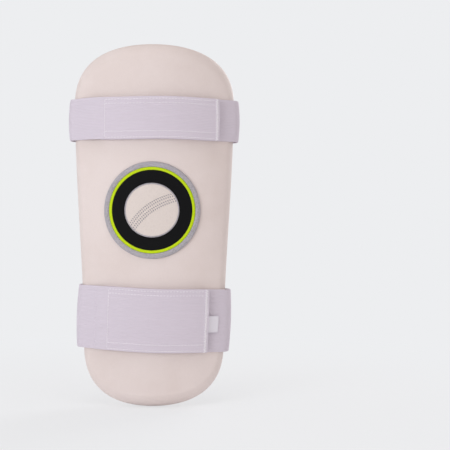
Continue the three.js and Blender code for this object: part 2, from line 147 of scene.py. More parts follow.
@dataclass
class Shell:
    """A closed surface in millimetres, with the place of each point laid flat."""

    points: Array
    faces: Array
    flat: Array

    @classmethod
    def grid(cls, points: Array, flat: Array, closed_rows: bool = False, closed_columns: bool = True,
             capped: bool = False) -> "Shell":
        """Makes a shell from a grid of points.

        Args:
            points: Rows by columns by 3.
            flat: Distance along and across in millimetres and the share, in the same shape.
            closed_rows: Whether the last row meets the first.
            closed_columns: Whether the last column meets the first.
            capped: Whether the two end rows are closed, each by faces between its mirrored points.

        Returns:
            The shell, with its faces outwards.
        """
        rows, columns = points.shape[:2]
        faces = [grid_faces(rows, columns, closed_rows, closed_columns)]
        if capped:
            j = np.arange(columns // 2 - 1)
            cap = np.stack((j, columns - 1 - j, columns - 2 - j, j + 1), axis=1)
            faces += [cap, cap[:, ::-1] + (rows - 1) * columns]
        shell = cls(points.reshape(-1, 3), np.concatenate(faces), flat.reshape(-1, 3))
        return shell.outwards()

    def outwards(self) -> "Shell":
        """Turns the faces round if the volume that they enclose is negative."""
        a, b, c, d = (self.points[self.faces[:, k]] for k in range(4))
        volume = np.einsum("ij,ij->i", a, np.cross(b, c) + np.cross(c, d)).sum()
        return self if volume > 0 else Shell(self.points, self.faces[:, ::-1], self.flat)

    @classmethod
    def joined(cls, shells: Sequence["Shell"]) -> "Shell":
        """One shell that holds several."""
        starts = np.cumsum([0] + [len(shell.points) for shell in shells[:-1]])
        faces = [shell.faces + start for shell, start in zip(shells, starts)]
        return cls(np.concatenate([shell.points for shell in shells]), np.concatenate(faces),
                   np.concatenate([shell.flat for shell in shells]))

    def moved(self, place: Callable[[Array], Array]) -> "Shell":
        """The same shell with its points put through a function."""
        return Shell(place(self.points), self.faces, self.flat)

    def mesh(self, name: str) -> bpy.types.Mesh:
        """Blender's mesh of the shell in metres, with its poles and seams merged and shaded smooth."""
        mesh = bpy.data.meshes.new(name)
        mesh.from_pydata((self.points * MM).tolist(), [], self.faces.tolist())
        flat = mesh.attributes.new("flat", "FLOAT_VECTOR", "POINT")
        scaled = self.flat * np.array([MM, MM, 1.0])
        flat.data.foreach_set("vector", scaled.astype(np.float32).ravel())
        work = bmesh.new()
        work.from_mesh(mesh)
        bmesh.ops.remove_doubles(work, verts=work.verts, dist=MERGE)
        work.to_mesh(mesh)
        work.free()
        mesh.shade_smooth()
        mesh.set_sharp_from_angle(angle=math.radians(CREASE))
        return mesh


class Body(Enum):
    """The CAD bodies that pieces of more than one kind ride on; each strap names its own flap."""

    GUARD = "guard"
    LABEL = "label"


def make_piece(name: str, shell: Shell, finish: "Finish", body: str,
               replaced: Iterable[str] = ()) -> bpy.types.Object:
    """Makes a finished piece: mesh, material, body and the CAD nodes that it stands for.

    Args:
        name: The piece's name.
        shell: Its surface.
        finish: What it is made of.
        body: The CAD body that it rides on, or an empty text for none.
        replaced: CAD nodes that are hidden behind it.

    Returns:
        The piece's object, which sits at the origin.
    """
    piece = bpy.data.objects.new(name, shell.mesh(name))
    bpy.context.scene.collection.objects.link(piece)
    piece.data.materials.append(finish.material())
    if body:
        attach(piece, body)
    if replaced:
        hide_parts(*replaced)
    LOG.info("%s: %d faces on %s", name, len(piece.data.polygons), body or "two bodies")
    return piece


# --------------------------------------------------------------------------------------------
# Shader expressions
# --------------------------------------------------------------------------------------------


def linear(code: str, strength: float = 1.0) -> Colour:
    """A colour written as six hexadecimal digits, as linear light."""
    parts = [int(code[k:k + 2], 16) / 255 for k in (0, 2, 4)]
    light = [part / 12.92 if part <= 0.04045 else ((part + 0.055) / 1.055) ** 2.4 for part in parts]
    return (light[0] * strength, light[1] * strength, light[2] * strength, 1.0)


@dataclass(frozen=True)
class Signal:
    """A socket's output that Python's operators build Math nodes on."""

    graph: "Graph"
    socket: bpy.types.NodeSocket

    def maths(self, operation: str, *others: Any) -> "Signal":
        """A Math node on this signal and up to two others."""
        return self.graph.add("ShaderNodeMath", {"operation": operation}, dict(enumerate((self, *others))))

    def __add__(self, other: Any) -> "Signal":
        """self + other."""
        return self.maths("ADD", other)

    __radd__ = __add__

    def __mul__(self, other: Any) -> "Signal":
        """self * other."""
        return self.maths("MULTIPLY", other)

    __rmul__ = __mul__

    def __sub__(self, other: Any) -> "Signal":
        """self - other."""
        return self.maths("SUBTRACT", other)

    def __rsub__(self, other: Any) -> "Signal":
        """other - self."""
        return (self * -1.0) + other

    def __truediv__(self, other: Any) -> "Signal":
        """self / other."""
        return self.maths("DIVIDE", other)

    def __pow__(self, other: Any) -> "Signal":
        """self to a power."""
        return self.maths("POWER", other)

    def wave(self, length: float, start: Any = 0.0) -> "Signal":
        """A sine of this distance, from 0 to 1, that repeats after `length` and starts `start` turns in."""
        turns = self * (1 / length) + start
        return (turns * (2 * math.pi)).maths("SINE", 0.0) * 0.5 + 0.5

    def above(self, low: float, high: float) -> "Signal":
        """0 under `low`, 1 over `high`, and eased between."""
        values = {"Value": self, "From Min": low, "From Max": high}
        return self.graph.add("ShaderNodeMapRange", {"interpolation_type": "SMOOTHSTEP"}, values)


class Graph:
    """A node tree that is filled by expressions."""

    def __init__(self, tree: bpy.types.NodeTree) -> None:
        """Empties the tree and keeps it."""
        self.tree = tree
        tree.nodes.clear()

    def node(self, kind: str, settings: Optional[dict[str, Any]] = None,
             inputs: Optional[dict[Any, Any]] = None) -> bpy.types.Node:
        """Adds a node.

        Args:
            kind: The node's type.
            settings: Its properties, set before its sockets.
            inputs: What each input holds, by name or number: a signal to link, or a value.

        Returns:
            The node.
        """
        node = self.tree.nodes.new(kind)
        for key, value in (settings or {}).items():
            setattr(node, key, value)
        for key, value in (inputs or {}).items():
            if isinstance(value, Signal):
                self.tree.links.new(value.socket, node.inputs[key])
            else:
                node.inputs[key].default_value = value
        return node

    def add(self, kind: str, settings: Optional[dict[str, Any]] = None,
            inputs: Optional[dict[Any, Any]] = None, output: Union[int, str] = 0) -> Signal:
        """Adds a node and returns one of its outputs."""
        return Signal(self, self.node(kind, settings, inputs).outputs[output])

    def mix(self, share: Any, first: Any, second: Any, blend: str = "MIX") -> Signal:
        """Mixes two colours by a share."""
        settings = {"data_type": "RGBA", "blend_type": blend}
        return self.add("ShaderNodeMix", settings, {0: share, 6: first, 7: second}, 2)

    def clouds(self, scale: float, detail: float = 2.0, rough: float = 0.5) -> Signal:
        """Soft noise on the object's own coordinates, about 0.5, with `scale` cells to the metre."""
        place = self.add("ShaderNodeTexCoord", output="Object")
        values = {"Vector": place, "Scale": scale, "Detail": detail, "Roughness": rough}
        return self.add("ShaderNodeTexNoise", {}, values)

    def cells(self, scale: float, feature: str = "F1") -> Signal:
        """Distance from the middle of the nearest cell, or from its edge."""
        place = self.add("ShaderNodeTexCoord", output="Object")
        values = {"Vector": place, "Scale": scale}
        return self.add("ShaderNodeTexVoronoi", {"feature": feature}, values, "Distance")

    def flat(self) -> tuple[Signal, Signal, Signal]:
        """Distance along and across the piece in metres, and its share."""
        place = self.add("ShaderNodeAttribute", {"attribute_name": "flat"}, output="Vector")
        parts = self.node("ShaderNodeSeparateXYZ", {}, {0: place})
        along, across, share = (Signal(self, parts.outputs[k]) for k in range(3))
        return along, across, share


# --------------------------------------------------------------------------------------------
# Finishes
# --------------------------------------------------------------------------------------------


@dataclass(frozen=True)
class Finish:
    """What a piece is made of: colours, gloss and a surface that the subclass works out."""

    name: str
    slot: str
    colour: str
    shade: str
    roughness: float = 0.8
    sheen: float = 0.0
    specular: float = 0.3

    def surface(self, graph: Graph) -> tuple[Signal, Any, Signal]:
        """Colour, roughness and height in millimetres over the surface."""
        raise NotImplementedError

    def material(self) -> bpy.types.Material:
        """The finish as a material, made once."""
        found = bpy.data.materials.get(self.name)
        if found:
            return found
        material = bpy.data.materials.new(self.name)
        material.use_nodes = True
        graph = Graph(material.node_tree)
        colour, roughness, height = self.surface(graph)
        bump = graph.add("ShaderNodeBump", {}, {"Height": height, "Distance": MM, "Strength": 1.0})
        values = {"Base Color": colour, "Roughness": roughness, "Normal": bump, "Sheen Weight": self.sheen,
                  "Sheen Roughness": 0.5, "Specular IOR Level": self.specular}
        shader = graph.add("ShaderNodeBsdfPrincipled", {}, values)
        graph.node("ShaderNodeOutputMaterial", {}, {"Surface": shader})
        return material

    def tones(self, graph: Graph, share: Any) -> Signal:
        """The finish's colour where `share` is 0, and its shade where it is 1."""
        return graph.mix(share, linear(self.colour), linear(self.shade))


@dataclass(frozen=True)
class Leathercloth(Finish):
    """Smooth coated cloth: fine pebbles, faint clouds and scuffs, with painted shade in the creases between
    pebbles and on its side wall.
    """

    # painted shade: the darker, browner colour of the side wall that turns away from the light
    wall: str = "c9b3a6"
    scuffed: str = "b9a79d"
    pebbles: float = 950.0

    def surface(self, graph: Graph) -> tuple[Signal, Any, Signal]:
        """Clouds tone the face; the share channel turns face to the painted shade of the side wall; cells
        emboss the grain and paint shade in its creases.
        """
        side = graph.flat()[2]
        clouds = graph.clouds(14.0, 4.0, 0.6)
        colour = self.tones(graph, clouds.above(0.38, 0.68) * 0.55)
        grain = graph.cells(self.pebbles, "DISTANCE_TO_EDGE").above(0.02, 0.22)
        # painted shade: the creases between the pebbles are darkened
        colour = graph.mix((1.0 - grain) * 0.10, colour, linear(self.shade, 0.75))
        # painted shade on the side wall, growing as the cover turns away from its face
        colour = graph.mix(side.above(0.35, 0.95) * 0.8, colour, linear(self.wall))
        scuffs = graph.clouds(70.0, 6.0, 0.7).above(0.62, 0.78)
        colour = graph.mix(scuffs * 0.10, colour, linear(self.scuffed))
        roughness = 0.52 + graph.clouds(45.0, 3.0) * 0.16
        height = grain * 0.035 + graph.clouds(160.0, 2.0) * 0.10 + graph.clouds(32.0, 2.0) * 0.25
        return colour, roughness, height


@dataclass(frozen=True)
class Towelling(Finish):
    """Terry pile in short crooked rows: light loop tips, with painted shade on the roots between them."""

    fineness: float = 820.0
    loops: float = 720.0

    def surface(self, graph: Graph) -> tuple[Signal, Any, Signal]:
        """The share channel is the pile's height; fine noise and cells add the single loops, and their low
        places get painted shade.
        """
        pile = graph.flat()[2]
        fuzz = graph.clouds(self.fineness, 3.0, 0.65)
        loops = 1.0 - graph.cells(self.loops)
        clouds = graph.clouds(22.0, 3.0)
        # painted shade: a height of pile, fuzz and loops that only darkens the colour where it is low, between
        # the loops
        height = pile * 0.25 + fuzz * 0.45 + loops * 0.30
        colour = self.tones(graph, (1.0 - height).above(0.34, 0.66) * 0.85)
        colour = graph.mix(clouds.above(0.42, 0.70) * 0.20, colour, linear(self.shade))
        return colour, 0.95, fuzz * 0.45 + loops * 0.35


@dataclass(frozen=True)
class Elastic(Finish):
    """Woven elastic: covered rubber ribs along the strap, fine picks across, a plain firm selvedge, with
    painted shade between ribs and between picks.
    """

    rib: float = 0.0015
    pick: float = 0.0011
    selvedge: str = "e2d9e4"
    worn: str = "f0ecf2"

    def surface(self, graph: Graph) -> tuple[Signal, Any, Signal]:
        """Ribs are a sine across; picks are a sine along that shifts by half a turn from rib to rib."""
        along, across, edge = graph.flat()
        ribs = across.wave(self.rib)
        row = (across * (1 / self.rib)).maths("FLOOR", 0.0)
        picks = along.wave(self.pick, row * 0.5)
        clouds = graph.clouds(30.0, 4.0, 0.6)
        streaks = graph.clouds(260.0, 2.0)
        # painted shade: darker in the valleys between the ribs, with random clouds of tone
        colour = self.tones(graph, (1.0 - ribs).above(0.35, 1.0) * 0.55 + (clouds - 0.5) * 0.7)
        # painted shade: darker between the picks
        colour = graph.mix((1.0 - picks) * 0.10, colour, linear(self.shade, 0.8))
        colour = graph.mix(streaks.above(0.55, 0.75) * 0.12, colour, linear(self.worn))
        colour = graph.mix(edge * 0.75, colour, linear(self.selvedge))
        height = picks * 0.07 * (1.0 - edge) + streaks * 0.06
        return colour, 0.88, height


@dataclass(frozen=True)
class Embroidery(Finish):
    """Stitched cover of a badge: strands side by side along one of the flat directions."""

    strand: float = 0.0007
    slant: float = 0.0
    mottle: float = 0.35

    def surface(self, graph: Graph) -> tuple[Signal, Any, Signal]:
        """Strands are a sine along the piece, slanted by the distance across it; painted shade darkens the gaps
        between strands, and noise tones each one.
        """
        along, across, _ = graph.flat()
        place = along + across * self.slant
        strands = place.wave(self.strand)
        speckle = graph.clouds(900.0, 2.0, 0.7)
        # painted shade between the strands, plus the thread's own mottle
        tone = (1.0 - strands) * 0.35 + speckle.above(0.42, 0.70) * self.mottle
        colour = self.tones(graph, tone)
        roughness = 0.62 - strands * 0.14
        return colour, roughness, strands * 0.12 + speckle * 0.05


@dataclass(frozen=True)
class Twill(Finish):
    """Close twill: slanted ridges over a ground."""

    ridge: float = 0.0009

    def surface(self, graph: Graph) -> tuple[Signal, Any, Signal]:
        """Ridges are a sine of the sum of both distances; threads across break them up."""
        along, across, _ = graph.flat()
        ridges = (along + across).wave(self.ridge)
        breaks = (along - across).wave(self.ridge * 0.5)
        clouds = graph.clouds(60.0, 3.0)
        colour = self.tones(graph, ridges * 0.5 + clouds * 0.3)
        return colour, 0.75 - ridges * 0.1, ridges * 0.10 + breaks * 0.03


@dataclass(frozen=True)
class Thread(Finish):
    """Sewing thread: two strands twisted together, with painted shade in the grooves of the twist."""

    twist: float = 0.0008

    def surface(self, graph: Graph) -> tuple[Signal, Any, Signal]:
        """The twist is a sine of the distance along plus the turn round the thread."""
        along, turn, _ = graph.flat()
        strands = along.wave(self.twist, turn * 1000.0)
        clouds = graph.clouds(180.0, 2.0)
        # painted shade: darker in the grooves between the twisted strands
        colour = self.tones(graph, (1.0 - strands) * 0.5 + clouds.above(0.5, 0.8) * 0.2)
        return colour, 0.6, strands * 0.06


@dataclass(frozen=True)
class Tape(Finish):
    """Hook or loop tape: a knitted ground with brushed or moulded pile."""

    knit: float = 0.0012
    brushed: float = 0.5

    def surface(self, graph: Graph) -> tuple[Signal, Any, Signal]:
        """Knit rows along, and noise as deep as the tape is brushed; painted shade darkens the noise's hollows,
        the gaps between knit rows and the low pile.
        """
        along, across, pile = graph.flat()
        rows = across.wave(self.knit) * (0.5 + along.wave(self.knit) * 0.5)
        fuzz = graph.clouds(1100.0, 3.0, 0.7)
        painted_hollow_shade = (1.0 - fuzz).above(0.3, 0.7)
        # painted shade: darker in the hollows of the noise, between the knit rows and where the pile is low
        colour = self.tones(graph, (1.0 - rows) * 0.3 + painted_hollow_shade * 0.5 + (1.0 - pile) * 0.2)
        return colour, 0.9, fuzz * self.brushed * 0.4 + rows * 0.1


@dataclass(frozen=True)
class Satin(Finish):
    """Woven satin tape: very fine ribs and a soft gloss."""

    across_rib: float = 0.0005
    along_rib: float = 0.0007

    def surface(self, graph: Graph) -> tuple[Signal, Any, Signal]:
        """Fine ribs across with painted shade between them, faint clouds, and painted shade along the top and
        bottom edges.
        """
        along, across, edge = graph.flat()
        ribs = across.wave(self.across_rib) * 0.6 + along.wave(self.along_rib) * 0.4
        clouds = graph.clouds(120.0, 3.0)
        # painted shade between the ribs and along the label's top and bottom edges
        colour = self.tones(graph, (1.0 - ribs) * 0.3 + clouds.above(0.45, 0.7) * 0.3 + edge * 0.4)
        return colour, 0.45 + clouds * 0.1, ribs * 0.04


@dataclass(frozen=True)
class Foam(Finish):
    """Closed-cell foam: small round cells and a matt skin."""

    cells: float = 600.0

    def surface(self, graph: Graph) -> tuple[Signal, Any, Signal]:
        """Cells dent the surface, and painted shade darkens their middles."""
        cells = graph.cells(self.cells)
        clouds = graph.clouds(40.0, 3.0)
        # painted shade in the dented middles of the cells
        colour = self.tones(graph, (1.0 - cells.above(0.1, 0.5)) * 0.6 + clouds * 0.2)
        return colour, 0.9, cells * 0.3


COVER = Leathercloth("leathercloth", "cover", "e6dad7", "dccec9", specular=0.25)
TOWELLING = Towelling("towelling", "towelling", "f3e0de", "b3978f", sheen=0.2, specular=0.1)
PIPING = Twill("piping_cloth", "piping", "e2d4ce", "d2c1ba", ridge=0.0014)
ELASTIC = Elastic("elastic", "elastic", "d6c8d4", "bfb0be", sheen=0.1, specular=0.12)
HOOK_GROUND = Tape("hook_ground", "hook", "dcd8e0", "c3bcc8", brushed=0.2)
HOOK_STUBS = Tape("hook_stubs", "hook", "f0eef4", "d4ced9", roughness=0.5, brushed=0.1)
LOOP_PILE = Tape("loop_pile", "loop", "e6e0ea", "c3bac9", sheen=0.3, brushed=1.0)
WHITE_THREAD = Thread("white_thread", "thread", "fbf9fc", "ddd6e0")
PALE_THREAD = Thread("pale_thread", "thread", "e7e0ea", "c6bdcb")
SEAM_THREAD = Thread("seam_thread", "thread", "e3d6d0", "c2b0a8")
GREY_THREAD = Thread("grey_thread", "badge", "8f8a95", "5f5b66")
SATIN = Satin("label_satin", "satin", "e9e6ee", "cfc9d6", sheen=0.1, specular=0.35)
GREY_EMBROIDERY = Embroidery("grey_embroidery", "badge", "c4c0c6", "86818b", slant=0.5, mottle=0.5)
LIME_EMBROIDERY = Embroidery("lime_embroidery", "badge", "d6f000", "93b400", mottle=0.2)
CREAM_EMBROIDERY = Embroidery("cream_embroidery", "badge", "e9dfd9", "cdbfb9", mottle=0.2)
BLACK_CLOTH = Twill("black_cloth", "badge", "060607", "121214", specular=0.12)
IMPACT_FOAM = Foam("impact_foam_skin", "foam", "d8d8da", "b9b9bd")
COMFORT_FOAM = Foam("comfort_foam_skin", "foam", "efe8d6", "d2c9b2")


# --------------------------------------------------------------------------------------------
# The bend and the pad's outline
# --------------------------------------------------------------------------------------------


@dataclass(frozen=True)
class Bend:
    """The curve round the limb: radii from an upright axis behind the guard."""

    middle: float = 122.0
    inner: float = 113.0
    front: float = 131.0

    @property
    def axis(self) -> float:
        """How far behind the origin the axis stands, from the front of the cover."""
        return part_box("front_cover")[0].y / MM + self.front

    def place(self, angle: Array, radius: Array, height: Array) -> Array:
        """Points: x is radius times sine, y is the axis less radius times cosine."""
        x, y = radius * np.sin(angle), self.axis - radius * np.cos(angle)
        return np.stack(np.broadcast_arrays(x, y, height), axis=-1)

    def on_front(self, along: Array, radius: Array, height: Array) -> Array:
        """Points whose distance along is measured round the front face."""
        return self.place(np.asarray(along) / self.front, radius, height)


BEND = Bend()


@dataclass(frozen=True)
class Outline:
    """The pad's outline laid flat: three cubic curves down the right side, mirrored to the left."""

    half_length: float
    upper: float
    lower: float
    shoulder: float = 52.0
    corner_in: float = 30.0
    corner_down: float = 20.0
    foot: float = 55.0
    foot_corner_up: float = 16.0

    @classmethod
    def of_frame(cls, upper_width: float = 154.5, lower_width: float = 135.0) -> "Outline":
        """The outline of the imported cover, from its widths straight across: a half is r asin(w / 2r)."""
        upper, lower = (BEND.middle * math.asin(width / 2 / BEND.middle)
                        for width in (upper_width, lower_width))
        return cls(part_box("front_cover")[1].z / MM, upper, lower)

    def half(self, count: int) -> Array:
        """Evenly spaced points from the middle of the top to the middle of the bottom.

        Each curve is the cubic (1-t)^3 a + 3(1-t)^2 t b + 3(1-t) t^2 c + t^3 d of its four corners.
        """
        top, bottom = self.half_length, -self.half_length
        side_top, side_bottom = top - self.shoulder, bottom + self.foot
        handle = (side_top - side_bottom) / 3
        curves = np.array([
            [(0, top), (self.upper - self.corner_in, top),
             (self.upper, top - self.corner_down), (self.upper, side_top)],
            [(self.upper, side_top), (self.upper, side_top - handle),
             (self.lower, side_bottom + handle), (self.lower, side_bottom)],
            [(self.lower, side_bottom), (self.lower, bottom + self.foot_corner_up),
             (self.lower - self.corner_in, bottom), (0, bottom)]])
        t = np.linspace(0, 1, 400)
        weights = np.stack([(1 - t) ** 3, 3 * (1 - t) ** 2 * t, 3 * (1 - t) * t * t, t ** 3])
        path = np.concatenate([weights.T @ corners for corners in curves])
        steps = np.hypot(*np.diff(path, axis=0).T)
        travelled = np.concatenate([[0], np.cumsum(steps)])
        wanted = np.linspace(0, travelled[-1], count + 1)
        return np.stack([np.interp(wanted, travelled, path[:, k]) for k in (0, 1)], axis=1)

    def rings(self, count: int, insets: Array) -> tuple[Array, Array]:
        """The outline moved in towards the pad's upright middle line.

        A ring at an inset keeps the share 1 - inset / widest half of each point's distance from the
        middle line, which runs between the two heights where the ends round off.

        Args:
            count: Points on half a ring.
            insets: How far in each ring lies, in millimetres.

        Returns:
            Distances round the middle of the padding, and heights, both rings by points.
        """
        right = self.half(count)
        left = right[-2:0:-1] * np.array([-1.0, 1.0])
        ring = np.concatenate([right, left])
        spine = np.clip(ring[:, 1], self.lower - self.half_length, self.half_length - self.upper)
        share = 1 - np.asarray(insets)[:, None] / self.upper
        return share * ring[:, 0], spine + share * (ring[:, 1] - spine)

    def half_arc(self, low: float, high: float) -> float:
        """The pad's widest half between two heights, laid flat."""
        half = self.half(200)
        return float(half[(half[:, 1] > low) & (half[:, 1] < high), 0].max())


# --------------------------------------------------------------------------------------------
# Swelling of the padding
# --------------------------------------------------------------------------------------------


@dataclass
class Swelling:
    """How far the padding pushes the cover out, on a grid laid flat over the front.

    The pad is simulated as an inflated cloth bag whose back, rim and strap lines are held, and its
    movement is gathered on the grid.
    """

    outline: Outline
    bands: Sequence[tuple[float, float]]
    start_in: float = 1.2
    most: float = 1.5
    voxel: float = 5.0
    step: float = 4.0
    half_width: float = 88.0
    half_height: float = 180.0
    half_bag: float = 9.0
    pressure: float = 4.0
    stiffness: float = 12.0
    bending: float = 0.5
    frames: int = 20
    farthest: float = 12.0
    reach: float = 6.0
    values: Array = field(init=False)

    def __post_init__(self) -> None:
        """Works out the grid's values."""
        self.along = np.arange(-self.half_width, self.half_width + self.step, self.step)
        self.heights = np.arange(-self.half_height, self.half_height + self.step, self.step)
        grid = np.meshgrid(self.along, self.heights)
        self.values = self.simulated(*grid)
        LOG.info("swelling from %.2f to %.2f mm", self.values.min(), self.values.max())

    def under_straps(self, height: Array) -> Array:
        """1 under a strap, 0 well clear of both."""
        margin, fade = 5, 8
        inside = [smooth((high + margin - height) / fade) * smooth((height - low + margin) / fade)
                  for low, high in self.bands]
        return np.maximum.reduce(inside)

    def bag(self) -> Shell:
        """A closed pad, a little thinner than the cover, that the simulation inflates."""
        turn = np.linspace(np.pi / 2, -np.pi / 2, 9)
        rim, half = self.half_bag, self.half_bag - self.start_in / 2
        face = np.linspace(self.outline.upper, 12, 10)
        insets = np.concatenate([face, rim - rim * np.cos(turn) + self.start_in, face[::-1]])
        rises = np.concatenate([np.full(10, half), half * np.sin(turn), np.full(10, -half)])
        along, height = self.outline.rings(110, insets)
        points = BEND.place(along / BEND.middle, BEND.middle + rises[:, None], height)
        return Shell.grid(points, np.zeros_like(points))

    def simulated(self, along: Array, height: Array) -> Array:
        """Inflates the bag and gathers its movement with a bell-shaped weight round each grid point."""
        scene = bpy.context.scene
        source = bpy.data.objects.new("swelling_source", self.bag().mesh("swelling_source"))
        scene.collection.objects.link(source)
        remesh = source.modifiers.new("voxels", "REMESH")
        remesh.mode, remesh.voxel_size = "VOXEL", self.voxel * MM
        bag = bpy.data.objects.new("swelling_bag", self.evaluated(source))
        scene.collection.objects.link(bag)
        rest = self.corners(bag.data)
        flat, rise, z = self.laid_flat(rest)
        held = np.clip(np.maximum(self.under_straps(z), rise < 0), 0, 1)
        group = bag.vertex_groups.new(name="held")
        group.add(np.flatnonzero(held > 0.5).tolist(), 1.0, "REPLACE")
        cloth = bag.modifiers.new("inflate", "CLOTH").settings
        cloth.vertex_group_mass = "held"
        cloth.use_pressure, cloth.uniform_pressure_force = True, self.pressure
        cloth.tension_stiffness = cloth.compression_stiffness = self.stiffness
        cloth.bending_stiffness = self.bending
        cloth.effector_weights.gravity = 0.0
        for shown in range(1, self.frames + 1):
            scene.frame_set(shown)
        moved = self.laid_flat(self.corners(self.evaluated(bag)))[1] - rise
        scene.frame_set(1)
        for made in (bag, source):
            bpy.data.objects.remove(made)
        front = rise > 4
        square = (along.ravel()[:, None] - flat[front]) ** 2 + (height.ravel()[:, None] - z[front]) ** 2
        weight = np.exp(-square / (2 * self.reach ** 2)) + 1e-12
        gathered = (weight @ np.clip(moved[front], 0, self.farthest)) / weight.sum(axis=1)
        LOG.info("the bag swelled by up to %.2f mm", gathered.max())
        return self.most * (gathered / gathered.max()).reshape(along.shape)

    @staticmethod
    def evaluated(source: bpy.types.Object) -> bpy.types.Mesh:
        """The mesh that an object's modifiers give now."""
        graph = bpy.context.evaluated_depsgraph_get()
        return bpy.data.meshes.new_from_object(source.evaluated_get(graph))

    @staticmethod
    def corners(mesh: bpy.types.Mesh) -> Array:
        """A mesh's vertices in millimetres."""
        found = np.empty(len(mesh.vertices) * 3)
        mesh.vertices.foreach_get("co", found)
        return found.reshape(-1, 3) / MM

    @staticmethod
    def laid_flat(points: Array) -> tuple[Array, Array, Array]:
        """Distance round the middle of the padding, rise over it, and height, of points in space."""
        across, back = points[:, 0], BEND.axis - points[:, 1]
        return np.arctan2(across, back) * BEND.middle, np.hypot(across, back) - BEND.middle, points[:, 2]

    def rise(self, angle: Array, height: Array) -> Array:
        """The swelling at an angle round the bend and a height, between the grid's four nearest values."""
        column = np.clip((angle * BEND.middle - self.along[0]) / self.step, 0, len(self.along) - 1.001)
        row = np.clip((height - self.heights[0]) / self.step, 0, len(self.heights) - 1.001)
        i, j = column.astype(int), row.astype(int)
        right, up = column - i, row - j
        low = self.values[j, i] * (1 - right) + self.values[j, i + 1] * right
        high = self.values[j + 1, i] * (1 - right) + self.values[j + 1, i + 1] * right
        return low * (1 - up) + high * up


# --------------------------------------------------------------------------------------------
# Stitches
# --------------------------------------------------------------------------------------------


@dataclass(frozen=True)
class Stitch:
    """One visible stitch: a low bead of thread whose ends dip into the cloth."""

    length: float = 2.4
    width: float = 0.55
    rise: float = 0.22

    def template(self) -> tuple[Array, Array, Array]:
        """Points of one stitch along x, its faces and their places laid flat.

        Five rings of six points; a ring's radius follows the square root of a sine, and its middle
        sinks towards the ends.
        """
        rings, round_ring = 5, 6
        share = np.linspace(0.06, 0.94, rings)[:, None]
        turn = np.linspace(0, 2 * np.pi, round_ring, endpoint=False)[None, :]
        swell = np.sqrt(np.sin(np.pi * share))
        along = (share - 0.5) * self.length + 0 * turn
        across = swell * np.cos(turn) * self.width / 2
        up = swell * np.sin(turn) * self.width / 2 - self.rise * (1 - swell)
        points = np.stack([along, across, up], axis=-1).reshape(-1, 3)
        ends = np.array([[0, 1, 2, 3], [0, 3, 4, 5]])
        last = (rings - 1) * round_ring
        sides = grid_faces(rings, round_ring, False, True)[:, ::-1]
        faces = np.concatenate([sides, ends, ends[:, ::-1] + last])
        flat = np.stack([along + self.length / 2, turn / (2 * np.pi) + 0 * along, 0.5 + 0 * along], axis=-1)
        return points, faces, flat.reshape(-1, 3)

    def sewn(self, middles: Array, tangents: Array, normals: Array) -> Shell:
        """Copies the stitch to places on a surface.

        Args:
            middles: Where each stitch lies.
            tangents: Which way it runs.
            normals: Which way faces out.

        Returns:
            All the stitches as one shell.
        """
        points, faces, flat = self.template()
        tangents = tangents / np.linalg.norm(tangents, axis=1, keepdims=True)
        sides = np.cross(normals, tangents)
        sides = sides / np.linalg.norm(sides, axis=1, keepdims=True)
        normals = np.cross(tangents, sides)
        frames = np.stack([tangents, sides, normals], axis=1)
        placed = np.einsum("pk,nkc->npc", points, frames) + middles[:, None, :]
        starts = np.arange(len(middles))[:, None, None] * len(points)
        all_faces = (faces[None] + starts).reshape(-1, 4)
        return Shell(placed.reshape(-1, 3), all_faces, np.tile(flat, (len(middles), 1)))


# --------------------------------------------------------------------------------------------
# Pad
# --------------------------------------------------------------------------------------------


